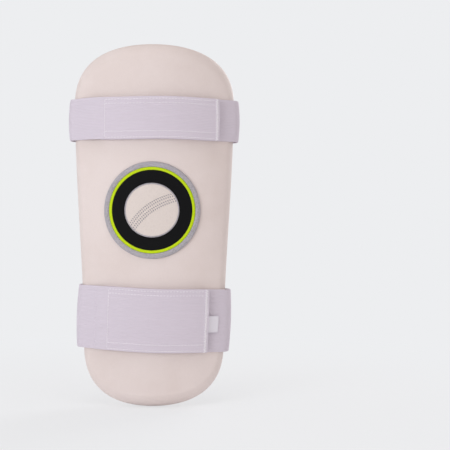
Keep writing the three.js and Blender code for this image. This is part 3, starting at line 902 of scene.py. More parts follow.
@dataclass
class Pad:
    """The padded plate: cover, two foams, towelling lining, piping and the rim's seam."""

    outline: Outline
    swelling: Swelling
    thickness: float = 18.0
    widest: float = 8.0
    front_edge: float = 13.0
    rear_edge: float = 5.0
    chamfer: float = 1.3
    wall: float = 1.2
    lip: float = 12.0
    lip_height: float = 2.8
    lining: float = 2.5
    piping_in: float = 4.2
    piping: float = 1.0
    foam_split: float = 8.15
    gap: float = 0.3
    loop_height: float = 0.75
    seam_in: float = 2.3

    def edge(self, depth: float, start: float, end: float, count: int) -> Array:
        """Rounded edge of the cover, `depth` under its face.

        Behind it is a quarter ellipse. In front the ellipse's sine and cosine are raised to the power
        `chamfer`, which flattens it into a soft chamfer.

        Args:
            depth: How far inside the cover's face.
            start: First angle in degrees, where 0 is the rim, 90 the front and -90 the rear.
            end: Last angle.
            count: Number of points.

        Returns:
            Insets and heights.
        """
        turn = np.radians(np.linspace(start, end, count))
        front = turn >= 0
        inset = np.where(front, self.front_edge, self.rear_edge)
        up = np.where(front, self.thickness - self.widest, self.widest - self.lip_height)
        bend = np.where(front, self.chamfer, 1.0)
        level, rise = np.abs(np.cos(turn)) ** bend, np.sign(turn) * np.abs(np.sin(turn)) ** bend
        return np.stack([inset - (inset - depth) * level, self.widest + (up - depth) * rise], axis=1)

    def face(self, height: float, inset: float, count: int, outwards: bool = True) -> Array:
        """Straight run between the pad's middle line and an inset, at one height."""
        insets = np.linspace(self.outline.upper, inset, count, endpoint=False)
        run = np.stack([insets, np.full(count, height)], axis=1)
        return run if outwards else run[::-1]

    def swept(self, profile: Array, count: int, shares: Optional[Array] = None, closed: bool = False,
              lift: Optional[Callable[[Array, Array], Array]] = None) -> Shell:
        """Carries a profile round the outline.

        Args:
            profile: Insets and heights over the lining's rear face.
            count: Points on half the outline.
            shares: Value of the share channel for each profile point.
            closed: Whether the profile's end meets its start.
            lift: Function of angle and height that gives more height for each point.

        Returns:
            The closed shell.
        """
        along, z = self.outline.rings(count, profile[:, 0])
        angle = along / BEND.middle
        radius = BEND.inner + profile[:, 1][:, None] + (lift(angle, z) if lift else 0.0)
        shares = np.zeros(len(profile)) if shares is None else shares
        flat = np.stack(np.broadcast_arrays(along, z, shares[:, None]), axis=-1)
        return Shell.grid(BEND.place(angle, radius, z), flat, closed_rows=closed)

    def cover(self) -> Shell:
        """Cover: a swollen front face, rounded edges and a lip that turns in behind the foam."""
        outer = np.concatenate([self.face(self.thickness, self.front_edge, 40), self.edge(0, 90, 0, 16),
                                self.edge(0, -6, -90, 10), [[self.lip, self.lip_height]]])
        inner = np.concatenate([[[self.lip, self.lip_height + self.wall]], self.edge(self.wall, -90, 90, 12),
                                self.face(self.thickness - self.wall, self.front_edge, 6, False)])
        profile = np.concatenate([outer, inner])
        turned = (self.thickness - profile[:, 1]) / (self.thickness - self.lip_height)
        share = np.where(np.arange(len(profile)) < len(outer), turned, 1.0)
        pushed = smooth(1 - 2.2 * turned)[:, None]
        return self.swept(profile, 240, share, lift=lambda angle, z: pushed * self.swelling.rise(angle, z))

    def foam(self, top: bool) -> Shell:
        """One of the two foams inside the cover, without the swelling."""
        depth = self.wall + self.gap
        if top:
            low, high = self.foam_split + self.gap / 2, self.thickness - depth
            profile = np.concatenate([self.face(low, self.front_edge, 6), self.edge(depth, 4, 90, 8),
                                      self.face(high, self.front_edge, 6, False)])
        else:
            high = self.foam_split - self.gap / 2
            step = self.lip_height + depth
            inset = self.lip + self.gap
            profile = np.concatenate([self.face(self.lip_height, inset, 6),
                                      [[inset, self.lip_height], [inset, step]],
                                      self.edge(depth, -90, 0, 8), self.face(high, self.rear_edge, 6, False)])
        return self.swept(profile, 90)

    def pile(self, along: Array, z: Array) -> Array:
        """Height of the towelling's loops, 0 to 1: crooked ridges of two sizes with clumps between."""
        bend = noise(along, z, 8.0, 1) * 2.5
        turned = 0.8 * along + 0.6 * z + bend
        loops = noise(turned, (0.8 * z - 0.6 * along) * 0.6, 1.25, 2)
        small = noise(along, z, 1.0, 3)
        clumps = noise(along, z, 6.0, 4)
        return np.clip(0.5 + 0.6 * loops + 0.45 * small + 0.12 * clumps, 0, 1)

    def towelling(self) -> Shell:
        """Lining: a layer whose rear face carries loops, rounded down into the seam at its edge."""
        edge = self.piping_in + self.piping + self.gap
        half = self.lining / 2
        turn = np.radians(np.linspace(-90, 90, 7))
        rounding = np.stack([edge + half - half * np.cos(turn), half + half * np.sin(turn)], axis=1)
        rear, front = self.face(0.0, edge + half, 84), self.face(self.lining, edge + half, 3, False)
        profile = np.concatenate([rear, rounding, front])
        along, z = self.outline.rings(480, profile[:, 0])
        carried = (np.ones(len(rear)), np.linspace(1, 0, len(rounding)), np.zeros(len(front)))
        loops = np.concatenate(carried)[:, None]
        pile = self.pile(along, z)
        radius = BEND.inner + profile[:, 1][:, None] - loops * (pile * self.loop_height - 0.2)
        flat = np.stack([along, z, pile], axis=-1)
        return Shell.grid(BEND.place(along / BEND.middle, radius, z), flat)

    def piped_seam(self) -> Shell:
        """Piping: a round cord in cloth that fills the seam between lining and cover."""
        turn = np.linspace(0, 2 * np.pi, 12, endpoint=False)
        size = self.piping * 1.2
        inset, middle = self.piping_in + 0.1, self.lining - self.piping
        profile = np.stack([inset - size * np.cos(turn), middle + size * np.sin(turn)], axis=1)
        return self.swept(profile, 330, closed=True)

    def rim_stitches(self) -> Shell:
        """A row of stitches on the cover's rear edge, just outside the piping."""
        turn = -math.acos(1 - self.seam_in / self.rear_edge)
        height = self.widest + (self.widest - self.lip_height) * math.sin(turn)
        along, z = self.outline.rings(135, np.array([self.seam_in, self.seam_in + 0.5]))
        rows = BEND.place(along / BEND.middle, BEND.inner + height, z)
        tangents = np.roll(rows[0], -1, axis=0) - np.roll(rows[0], 1, axis=0)
        inwards = rows[1] - rows[0]
        inwards = inwards / np.linalg.norm(inwards, axis=1, keepdims=True)
        radial = rows[0] - np.array([0, BEND.axis, 0])
        radial[:, 2] = 0
        radial = radial / np.linalg.norm(radial, axis=1, keepdims=True)
        normals = -inwards * math.cos(turn) + radial * math.sin(turn)
        return Stitch(2.6, 0.6, 0.3).sewn(rows[0], tangents, normals)

    def build(self) -> list[bpy.types.Object]:
        """Makes the pad's pieces."""
        guard = Body.GUARD.value
        cover = make_piece("pad_cover", self.cover(), COVER, guard, ["front_cover"])
        cover = cover
        lining = make_piece("pad_lining", self.towelling(), TOWELLING, guard, ["rear_lining"])
        lining = lining
        return [
            cover, lining,
            make_piece("impact_foam_core", self.foam(True), IMPACT_FOAM, guard, ["impact_foam"]),
            make_piece("comfort_foam_core", self.foam(False), COMFORT_FOAM, guard, ["comfort_foam"]),
            make_piece("pad_piping", self.piped_seam(), PIPING, guard, ["lining_piping"]),
            make_piece("rim_stitches", self.rim_stitches(), SEAM_THREAD, guard),
        ]


# --------------------------------------------------------------------------------------------
# Badge
# --------------------------------------------------------------------------------------------


@dataclass
class Badge:
    """A plain round cloth badge: overlocked rim, coloured ring and a ball with its rows of sewing."""

    swelling: Swelling
    radius: float = 46.0
    rise: float = 14.0
    base: float = 131.3
    thickness: float = 1.0
    rim_width: float = 5.2
    ring_width: float = 2.8
    ball: float = 25.0
    tilt: float = 35.0
    bow: float = 5.0
    ROWS: ClassVar[tuple[tuple[float, float], ...]] = ((-3.9, 0.35), (-1.5, -0.35), (1.5, 0.35), (3.9, -0.35))

    def shell(self, radii: Array, lifts: Array, count: int, ribs: tuple[int, float] = (0, 0.0),
              closed: bool = False) -> Shell:
        """Carries a profile round the badge's middle.

        Args:
            radii: Distance of each profile point from the middle.
            lifts: Height of each over the cover.
            count: Points round.
            ribs: Number of thread ribs round, and their height, which slant with the radius.
            closed: Whether the profile's end meets its start.

        Returns:
            The closed shell.
        """
        turn = np.linspace(0, 2 * np.pi, count, endpoint=False)[None, :]
        across, up = radii[:, None] * np.sin(turn), self.rise + radii[:, None] * np.cos(turn)
        wave = 0.5 + 0.5 * np.cos(ribs[0] * (turn + radii[:, None] * 0.012))
        lift = lifts[:, None] + ribs[1] * wave * (lifts[:, None] > 0.5 * lifts.max())
        angle = across / BEND.front
        points = BEND.place(angle, self.base + lift + self.swelling.rise(angle, up), up)
        flat = np.stack(np.broadcast_arrays(turn * self.radius, radii[:, None], 0.5), axis=-1)
        if not closed:
            flat = np.stack([across, up, 0.5 + 0 * up], axis=-1)
        return Shell.grid(points, flat, closed_rows=closed)

    def disc(self, radius: float, low: float, high: float, count: int, rounding: float = 0.5) -> Shell:
        """A flat round patch between two heights, whose edge is a quarter circle."""
        turn = np.linspace(0, np.pi / 2, 4)
        flat = radius - rounding
        radii = np.concatenate([np.linspace(0, flat, 12), flat + rounding * np.sin(turn),
                                np.linspace(flat, 0, 6)])
        lifts = np.concatenate([np.full(12, high), high - (high - low) * (1 - np.cos(turn)), np.full(6, low)])
        return self.shell(radii, lifts, count)

    def band(self, inner: float, outer: float, low: float, high: float, ribs: tuple[int, float],
             count: int) -> Shell:
        """A raised ring of thread: over a flat base, a sine raised to 0.6 of the turn across it."""
        turn = np.linspace(0, np.pi, 9)
        middle, half = (inner + outer) / 2, (outer - inner) / 2
        radii = middle + half * np.cos(turn)
        lifts = low + (high - low) * np.sin(turn) ** 0.6
        return self.shell(np.append(radii, middle), np.append(lifts, low), count, ribs, closed=True)

    def seam(self) -> Shell:
        """Four bowed rows of short stitches side by side across the ball, as on a leather ball.

        A row is a parabola across the ball, turned by the tilt. Its stitches lean against those of
        the row beside it.
        """
        parts = []
        tilt, pitch, margin = math.radians(self.tilt), 1.9, 1.6
        for offset, lean in self.ROWS:
            reach = math.sqrt(self.ball ** 2 - offset ** 2) - margin
            x = np.linspace(-reach, reach, int(2 * reach / pitch))
            y = offset + self.bow * (1 - (x / self.ball) ** 2) - self.bow / 2
            across = x * math.cos(tilt) - y * math.sin(tilt)
            up = self.rise + x * math.sin(tilt) + y * math.cos(tilt)
            angle = across / BEND.front
            radius = self.base + self.swelling.rise(angle, up) + self.thickness + 0.5
            middles = BEND.place(angle, radius, up)
            normals = BEND.place(angle, 1.0, 0.0) - np.array([0, BEND.axis, 0])
            round_front = np.stack([np.cos(angle), np.sin(angle), 0 * angle], axis=1)
            run = (lean * math.cos(tilt) - math.sin(tilt), lean * math.sin(tilt) + math.cos(tilt))
            tangents = round_front * run[0] + np.array([0, 0, run[1]])
            parts.append(Stitch(pitch, 0.75, 0.15).sewn(middles, tangents, normals))
        return Shell.joined(parts)

    def build(self) -> list[bpy.types.Object]:
        """Makes the badge's pieces."""
        guard = Body.GUARD.value
        inner, ball, top = self.radius - self.rim_width, self.ball, self.thickness
        cloth = self.disc(self.radius - 1, 0, top, 160)
        rim = self.band(inner, self.radius, 0.1, top + 0.75, (300, 0.18), 1500)
        ring = self.band(inner - self.ring_width, inner + 0.1, 0.6, top + 0.42, (300, 0.10), 1200)
        edge = self.band(ball - 0.6, ball + 0.8, 0.7, top + 0.7, (180, 0.10), 900)
        return [
            make_piece("badge_cloth", cloth, BLACK_CLOTH, guard, ["badge"]),
            make_piece("badge_rim", rim, GREY_EMBROIDERY, guard, ["badge_stitching"]),
            make_piece("badge_ring", ring, LIME_EMBROIDERY, guard),
            make_piece("badge_ball", self.disc(ball, 0.7, top + 0.45, 200), CREAM_EMBROIDERY, guard),
            make_piece("badge_ball_edge", edge, GREY_EMBROIDERY, guard),
            make_piece("badge_ball_seam", self.seam(), GREY_THREAD, guard),
        ]


# --------------------------------------------------------------------------------------------
# Straps
# --------------------------------------------------------------------------------------------


@dataclass
class Strap:
    """An elastic strap: sewn to the front, carried behind the limb, closed on the front.

    Places along it are measured round the front face from the guard's middle line, right positive.
    """

    name: str
    width: float
    slope: float
    fixed_start: float
    loop_start: float
    loop_end: float
    hook_start: float
    flap_end: float
    outline: Outline
    tack_at: Optional[float] = None
    labelled: bool = False
    thickness: float = 1.8
    slack: float = 2.6
    rib: float = 1.5
    rib_height: float = 0.13
    step: float = 1.6
    crown: float = 1.3
    fixed_radius: float = 131.3
    loop_radius: float = 133.4
    hook_radius: float = 134.7
    flap_radius: float = 136.0
    rim: float = 9.0
    hook_tape: float = 0.55
    hook_sink: float = 0.45
    loop_tape: float = 0.72
    tail: float = 2.0
    bend: float = 0.025
    label_drop: float = 3.3
    label_lean: float = 2.0
    LABEL: ClassVar[tuple[float, float, float]] = (16.0, 10.0, 0.4)
    BOX_LINES: ClassVar[tuple[float, float, float, float]] = (1.8, 7.4, -6.2, -2.3)

    def __post_init__(self) -> None:
        """Works out the strap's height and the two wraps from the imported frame."""
        low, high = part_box(f"{self.name}_strap_loop")
        self.middle = (low.z + high.z) / 2 / MM
        self.bottom = self.middle - self.width / 2
        half_arc = self.outline.half_arc(self.bottom, self.bottom + self.width)
        self.wrap_radius = self.rim + self.slack
        self.wrap_angle = (half_arc - self.rim) / BEND.middle
        reach = self.fixed_radius - self.wrap_radius
        self.wrap_x = reach * math.sin(self.wrap_angle)
        self.wrap_y = BEND.axis - reach * math.cos(self.wrap_angle)
        self.flap_body = f"{self.name}_flap"

    @property
    def hinge(self) -> tuple[float, float, float]:
        """Where the free end turns, in metres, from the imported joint."""
        joint = next(j for j in frame["joints"] if j["child"] == self.flap_body)
        return tuple(joint["pos_m"])

    # Paths are points and outward directions seen from above, each rows by 2.

    def arc(self, start: float, end: float, radius_at: Callable[[Array], Array]) -> tuple[Array, Array]:
        """Path on the front between two angles, at a radius that may change."""
        count = max(3, int(abs(end - start) * BEND.front / self.step))
        angle = np.linspace(start, end, count)
        radius = radius_at(angle)
        out = np.stack([np.sin(angle), -np.cos(angle)], axis=1)
        return np.array([0, BEND.axis]) + out * radius[:, None], out

    def wrap(self, side: float, start: float, end: float) -> tuple[Array, Array]:
        """Path round one edge of the pad: a circle between two directions."""
        count = max(4, int(abs(end - start) * self.wrap_radius / (self.step * 0.6)))
        angle = np.linspace(start, end, count)
        out = np.stack([np.cos(angle), np.sin(angle)], axis=1)
        return np.array([side * self.wrap_x, self.wrap_y]) + out * self.wrap_radius, out

    def back_run(self) -> tuple[Array, Array]:
        """Straight path behind the limb, from right to left."""
        x = np.linspace(self.wrap_x, -self.wrap_x, int(2 * self.wrap_x / self.step))[1:-1]
        points = np.stack([x, np.full(len(x), self.wrap_y + self.wrap_radius)], axis=1)
        return points, np.tile([0.0, 1.0], (len(x), 1))

    def climb(self, angle: Array) -> Array:
        """Radius of the free end: it rises from the pad onto the closure, then keeps its height."""
        start, end = -self.wrap_angle, self.hook_start / BEND.front
        share = smooth((angle - start) / (end - start))
        return self.fixed_radius + (self.flap_radius - self.fixed_radius) * share

    @staticmethod
    def chained(*paths: tuple[Array, Array]) -> tuple[Array, Array]:
        """Paths one after another, each without the point that it shares with the last one."""
        points = [paths[0][0]] + [path[0][1:] for path in paths[1:]]
        outs = [paths[0][1]] + [path[1][1:] for path in paths[1:]]
        return np.concatenate(points), np.concatenate(outs)

    def section(self) -> tuple[Array, Array, Array]:
        """Cross-section of the elastic, outer face up then inner face down.

        The faces are cosines that repeat with the ribs, thinner towards a plain selvedge, and the
        two edges are half circles.

        Returns:
            Distance across, height over the inner face, and each point's share of the selvedge.
        """
        thinned, per_rib, round_points, first = 0.12, 4, 4, 2
        count = int(round(self.width / self.rib)) * per_rib
        across = np.linspace(0.5, self.width - 0.5, count)
        near = np.minimum(across, self.width - across)
        edge = 1 - smooth((near - 1.1) / 0.6)
        ribs = self.rib_height * np.cos(2 * np.pi * across / self.rib) * (1 - edge)
        outer = self.thickness - thinned * edge + ribs - self.rib_height
        inner = thinned * edge - ribs + self.rib_height
        turn = np.linspace(0, np.pi, round_points + 2)[1:-1]
        round_out = 0.5 + 0.5 * np.sin(turn)
        half = self.thickness / 2
        far = (self.width - 1.0 + round_out, half + (half - thinned) * np.cos(turn))
        start = (1.0 - round_out, half - (half - thinned) * np.cos(turn))
        distances = np.concatenate([across, far[0], across[::-1], start[0]])
        lifts = np.concatenate([outer, far[1], inner[::-1], start[1]])
        edges = np.concatenate([edge, np.ones(round_points), edge[::-1], np.ones(round_points)])
        return np.roll(distances, first), np.roll(lifts, first), np.roll(edges, first)

    def elastic(self, path: tuple[Array, Array]) -> Shell:
        """Carries the cross-section along a path.

        Args:
            path: Points and outward directions of the elastic's inner face.

        Returns:
            The closed strap.
        """
        points, outs = path
        across, lifts, edges = self.section()
        along = np.concatenate([[0], np.cumsum(np.hypot(*np.diff(points, axis=0).T))])
        flat_xy = points[:, None, :] + outs[:, None, :] * lifts[None, :, None]
        z = np.broadcast_to(self.bottom + across, flat_xy.shape[:2])
        placed = np.concatenate([flat_xy, z[..., None]], axis=-1)
        flat = np.stack(np.broadcast_arrays(along[:, None], across[None, :], edges[None, :]), axis=-1)
        return Shell.grid(self.settled(placed), flat, capped=True)

    def settled(self, points: Array) -> Array:
        """Puts every piece of the strap in its place: a slant, a crown at the wraps and a soft wave.

        The slant turns the strap in its own plane by the slope. The crown moves the wraps outwards by
        a parabola across the width. The wave moves the front by a slow sine.
        """
        x, y, z = points[..., 0], points[..., 1], points[..., 2]
        up = z - self.middle
        at_wrap = smooth((np.abs(x) - 0.74 * self.wrap_x) / (0.42 * self.wrap_x))
        bow = self.crown * (1 - (2 * up / self.width) ** 2) * at_wrap * np.sign(x)
        front = smooth(-(y + 6) / 18)
        wave = 0.35 * front * np.sin(x / 15.0 + self.middle)
        return np.stack([x + self.slope * up + bow, y, z - self.slope * x + wave], axis=-1)

    def plate(self, radius: float, thickness: float, start: float, end: float, inset: float,
              relief: Callable[[Array, Array], Array], outer: bool = True) -> Shell:
        """A thin curved plate on the front with relief on one face.

        Args:
            radius: Radius of its inner face.
            thickness: How thick it is.
            start: Where it starts along the front.
            end: Where it ends.
            inset: Distance from the strap's edges.
            relief: Function of the distances along and across that gives the relief.
            outer: Whether the relief is on the outer face.

        Returns:
            The closed plate, whose share channel is 1 on the relief.
        """
        cell, fade, top = 0.9, 1.2, self.width - inset
        rows, columns = int((end - start) / cell), int((top - inset) / cell)
        along = np.linspace(start, end, rows)[:, None]
        across = np.linspace(inset, top, columns)[None, :]
        bump = relief(along, across) * np.ones((rows, columns))
        border = np.minimum(np.minimum(along - start, end - along), np.minimum(across - inset, top - across))
        bump = bump * smooth(border / fade)
        high = radius + thickness + (bump if outer else 0 * bump)
        low = radius - (0 * bump if outer else bump)
        level = np.concatenate([high, low[:, ::-1]], axis=1)
        both = np.concatenate([across, across[:, ::-1]], axis=1) * np.ones((rows, 1))
        share = np.concatenate([bump, bump[:, ::-1]], axis=1)
        points = BEND.on_front(along, level, self.bottom + both)
        share = share / max(float(share.max()), 1e-6)
        flat = np.stack([np.broadcast_to(along, both.shape), both, share], axis=-1)
        return Shell.grid(self.settled(points), flat, capped=True)

    @staticmethod
    def loop_relief(along: Array, across: Array) -> Array:
        """Brushed loops: noise of two sizes, up to a quarter of a millimetre high."""
        fine, clumps = noise(along, across, 1.3, 7), noise(along, across, 4.0, 8)
        return 0.25 * np.clip(0.5 + 0.5 * fine + 0.4 * clumps, 0, 1)

    @staticmethod
    def hook_relief(along: Array, across: Array) -> Array:
        """Knitted ground between the hooks: low noise."""
        return 0.04 + 0.04 * noise(along, across, 1.0, 9)

    def hooks(self) -> Shell:
        """Field of small hooks that point inwards from the tape: bent stubs in staggered rows.

        A stub is five rings of four points, from its root to its tip.
        """
        pitch, rings, round_ring = 1.9, 5, 4
        along = np.arange(self.hook_start + 2.2, self.flap_end - 3.6, pitch)
        across = np.arange(2.6, self.width - 2.4, pitch)
        grid_along, grid_across = np.meshgrid(along, across)
        grid_along = grid_along + (np.arange(len(across))[:, None] % 2) * pitch / 2
        places = np.stack([grid_along.ravel(), grid_across.ravel()], axis=1)
        share = np.linspace(0, 1, rings)
        bend = 0.55 * smooth((share - 0.45) / 0.55)
        drop = np.array([0.0, 0.28, 0.52, 0.66, 0.58])
        turn = np.linspace(0, 2 * np.pi, round_ring, endpoint=False)
        size = np.array([0.22, 0.16, 0.14, 0.12, 0.03])
        stub_along = bend[:, None] + size[:, None] * np.cos(turn)
        stub_across = size[:, None] * np.sin(turn)
        stub_drop = drop[:, None] + 0 * turn
        base = np.broadcast_to(self.hook_radius + self.hook_sink, (len(places), rings, round_ring))
        where_along = places[:, 0][:, None, None] + stub_along
        where_across = places[:, 1][:, None, None] + stub_across
        points = BEND.on_front(where_along, base - stub_drop, self.bottom + where_across)
        faces = np.concatenate([grid_faces(rings, round_ring, False, True), [[3, 2, 1, 0]], [[16, 17, 18, 19]]])
        starts = np.arange(len(places))[:, None, None] * rings * round_ring
        flat = np.stack([where_along, where_across, 1.0 + 0 * where_across], axis=-1)
        all_faces = (faces[None] + starts).reshape(-1, 4)
        return Shell(self.settled(points.reshape(-1, 3)), all_faces, flat.reshape(-1, 3)).outwards()

    def sewn(self, places: Array, radius: Union[float, Array], directions: Array, stitch: Stitch) -> Shell:
        """Stitches on the front.

        Args:
            places: Distance along and across of each stitch.
            radius: Radius of the face that they lie on.
            directions: Which way each one runs, along and across.
            stitch: What one looks like.

        Returns:
            The stitches.
        """
        angle = places[:, 0] / BEND.front
        middles = BEND.place(angle, np.broadcast_to(radius, angle.shape), self.bottom + places[:, 1])
        normals = np.stack([np.sin(angle), -np.cos(angle), 0 * angle], axis=1)
        rounds = np.stack([np.cos(angle), np.sin(angle), 0 * angle], axis=1)
        tangents = rounds * directions[:, :1] + np.array([0, 0, 1.0]) * directions[:, 1:]
        return stitch.sewn(middles, tangents, normals).moved(self.settled)

    def row(self, start: tuple[float, float], end: tuple[float, float], radius: float,
            pitch: float = 2.9, stitch: Stitch = Stitch()) -> Shell:
        """A straight row of stitches between two places, each a little out of line."""
        span = np.array(end) - np.array(start)
        count = max(2, int(round(np.hypot(*span) / pitch)))
        share = (np.arange(count)[:, None] + 0.5) / count
        places = np.array(start) + share * span
        rng = np.random.default_rng(SEED + int(abs(start[0] * 7 + start[1] * 13)))
        places = places + rng.normal(0, 0.07, places.shape)
        directions = span / np.hypot(*span) + rng.normal(0, 0.03, places.shape)
        return self.sewn(places, radius, directions, stitch)

    def box_stitches(self) -> Shell:
        """Box on the free end that holds the hook tape: four rows along and two columns."""
        face = self.flap_radius + self.thickness - 0.02
        left, right = self.hook_start + 0.7, self.flap_end - 4.8
        lines = [line if line > 0 else self.width + line for line in self.BOX_LINES]
        rows = [self.row((left, line), (right, line), face) for line in lines]
        return Shell.joined(rows + [self.row((left, lines[0]), (left, lines[-1]), face)])

    def zigzag(self) -> Shell:
        """Dense zigzag over the free end's cut edge: long stitches that lean to and fro."""
        pitch, slant = 1.25, 0.55
        count = int(self.width / pitch)
        across = np.linspace(1.0, self.width - 1.0, count)
        places = np.stack([np.full(count, self.flap_end - 2.5), across], axis=1)
        lean = np.where(np.arange(count) % 2 == 0, slant, -slant)
        directions = np.stack([np.ones(count), lean], axis=1)
        face = self.flap_radius + self.thickness + 0.02
        return self.sewn(places, face, directions, Stitch(3.9, 0.8, 0.1))

    def anchor_stitches(self) -> Shell:
        """Box and cross that sew the strap's fixed end to the cover."""
        face = self.fixed_radius + self.thickness - 0.02
        left, right = self.fixed_start + 1.0, self.fixed_start + 7.0
        low, high = 3.0, self.width - 3.0
        return Shell.joined([
            self.row((left, low), (left, high), face), self.row((right, low), (right, high), face),
            self.row((left, low), (right, low), face, 2.4),
            self.row((left, high), (right, high), face, 2.4),
            self.row((left, low), (right, high), face), self.row((left, high), (right, low), face)])

    def loop_stitches(self) -> Shell:
        """Row of stitches round the edge of the loop tape."""
        face = self.fixed_radius + self.thickness + 0.05
        left, right = self.loop_start - 0.4, self.loop_end + 0.4
        low, high = 2.6, self.width - 2.6
        return Shell.joined([
            self.row((left, low), (right, low), face), self.row((left, high), (right, high), face),
            self.row((left, low), (left, high), face), self.row((right, low), (right, high), face)])

    def tack(self) -> Shell:
        """Single upright row of stitches near the free end's root."""
        radius = float(self.climb(np.array([self.tack_at / BEND.front]))[0]) + self.thickness
        return self.row((self.tack_at, 1.8), (self.tack_at, self.width - 1.8), radius, 3.4)

    def label(self) -> Shell:
        """Blank satin tab that leaves the free end's edge and leans in, with a curled far edge."""
        wide, reach, thick = self.LABEL
        ahead, under = 0.6, 0.5
        share = np.linspace(0, 1, 14)[:, None]
        up = np.linspace(-wide / 2, wide / 2, 22)[None, :]
        curl = 0.5 * smooth((share - 0.55) / 0.45) * (1 + 0.5 * up / wide)
        ripple = 0.12 * np.sin(up / 2.6) * share
        radius = self.flap_radius - thick - under - self.label_lean * share + curl + ripple
        middle = self.middle - self.label_drop
        along = self.flap_end + ahead + reach * share
        outer = BEND.on_front(along, radius + thick, middle + up)
        inner = BEND.on_front(along, radius[:, ::-1], middle + up[:, ::-1])
        points = np.concatenate((outer, inner), axis=1)
        across = np.concatenate([up, up[:, ::-1]], axis=1) * np.ones((14, 1))
        edge = smooth((np.abs(across) - wide / 2 + 1.2) / 0.8)
        flat = np.stack([np.broadcast_to(along, across.shape), across, edge], axis=-1)
        return Shell.grid(self.settled(points), flat, capped=True)

    def fixed_path(self) -> tuple[Array, Array]:
        """Path of what stays on the guard: front, right wrap, back run and half of the left wrap."""
        quarter = math.pi / 2
        front = self.arc(self.fixed_start / BEND.front, self.wrap_angle,
                         lambda angle: np.full_like(angle, self.fixed_radius))
        return self.chained(front, self.wrap(1.0, self.wrap_angle - quarter, quarter), self.back_run(),
                            self.wrap(-1.0, quarter, 2 * quarter))

    def free_path(self) -> tuple[Array, Array]:
        """Path of the free end: the other half of the left wrap, then across the front."""
        quarter = math.pi / 2
        return self.chained(self.wrap(-1.0, 2 * quarter, 3 * quarter - self.wrap_angle),
                            self.arc(-self.wrap_angle, self.flap_end / BEND.front, self.climb))

    def free_end(self) -> bpy.types.Object:
        """Makes the free end on no body, with its place baked into its points."""
        end = make_piece(f"{self.name}_free_end", self.elastic(self.free_path()), ELASTIC, "",
                         [f"{self.name}_strap_flap"])
        x, y, z = self.hinge
        turned = (x + 0.6 * self.bend, y - 0.8 * self.bend, z)
        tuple(self.hinge)
        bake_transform(end)
        return end

    def build(self) -> list[bpy.types.Object]:
        """Makes the strap's pieces: what stays on the guard, the free end, and what rides on it."""
        name, guard, flap = self.name, Body.GUARD.value, self.flap_body
        end = self.free_end()
        loops = self.plate(self.loop_radius, self.loop_tape, self.loop_start, self.loop_end, 3.0,
                           self.loop_relief)
        ground = self.plate(self.hook_radius + self.hook_sink, self.hook_tape, self.hook_start,
                            self.flap_end - self.tail, 1.0, self.hook_relief, outer=False)
        pieces = [
            make_piece(f"{name}_elastic", self.elastic(self.fixed_path()), ELASTIC, guard,
                       [f"{name}_strap_loop"]),
            end,
            make_piece(f"{name}_loop_tape", loops, LOOP_PILE, guard, [f"{name}_loop_patch"]),
            make_piece(f"{name}_loop_stitches", self.loop_stitches(), PALE_THREAD, guard,
                       [f"{name}_loop_stitching"]),
            make_piece(f"{name}_anchor_stitches", self.anchor_stitches(), PALE_THREAD, guard,
                       [f"{name}_anchor_stitching"]),
            make_piece(f"{name}_hook_tape", ground, HOOK_GROUND, flap, [f"{name}_hook_patch"]),
            make_piece(f"{name}_hooks", self.hooks(), HOOK_STUBS, flap),
            make_piece(f"{name}_box_stitches", self.box_stitches(), WHITE_THREAD, flap,
                       [f"{name}_flap_stitching"]),
            make_piece(f"{name}_zigzag", self.zigzag(), WHITE_THREAD, flap, [f"{name}_end_bartack"]),
        ]
        if self.tack_at is not None:
            pieces.append(make_piece(f"{name}_tack", self.tack(), PALE_THREAD, flap, [f"{name}_flap_tack"]))
        if self.labelled:
            wide, reach, _ = self.LABEL
            label = make_piece("blank_label", self.label(), SATIN, Body.LABEL.value, ["care_label"])
            label = (label, wide * MM, reach * MM)[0]
            pieces.append(label)
        return pieces


# --------------------------------------------------------------------------------------------
# Studio
# --------------------------------------------------------------------------------------------


@dataclass(frozen=True)
class Lamp:
    """A soft square lamp: where it stands, its side, its power and how warm it is."""

    name: str
    place: tuple[float, float, float]
    side: float
    power: float
    tint: tuple[float, float, float] = (1.0, 1.0, 1.0)

    def build(self, target: tuple[float, float, float]) -> None:
        """Hangs the lamp so that it faces the target."""
        light = bpy.data.lights.new(self.name, "AREA")
        light.shape, light.size, light.energy, light.color = "SQUARE", self.side, self.power, self.tint
        lamp = bpy.data.objects.new(self.name, light)
        bpy.context.scene.collection.objects.link(lamp)
        aim = np.array(target) - np.array(self.place)
        across = math.hypot(aim[0], aim[1])
        lamp.location = self.place
        lamp.rotation_euler = (math.atan2(across, -aim[2]), 0.0, math.atan2(-aim[0], aim[1]))


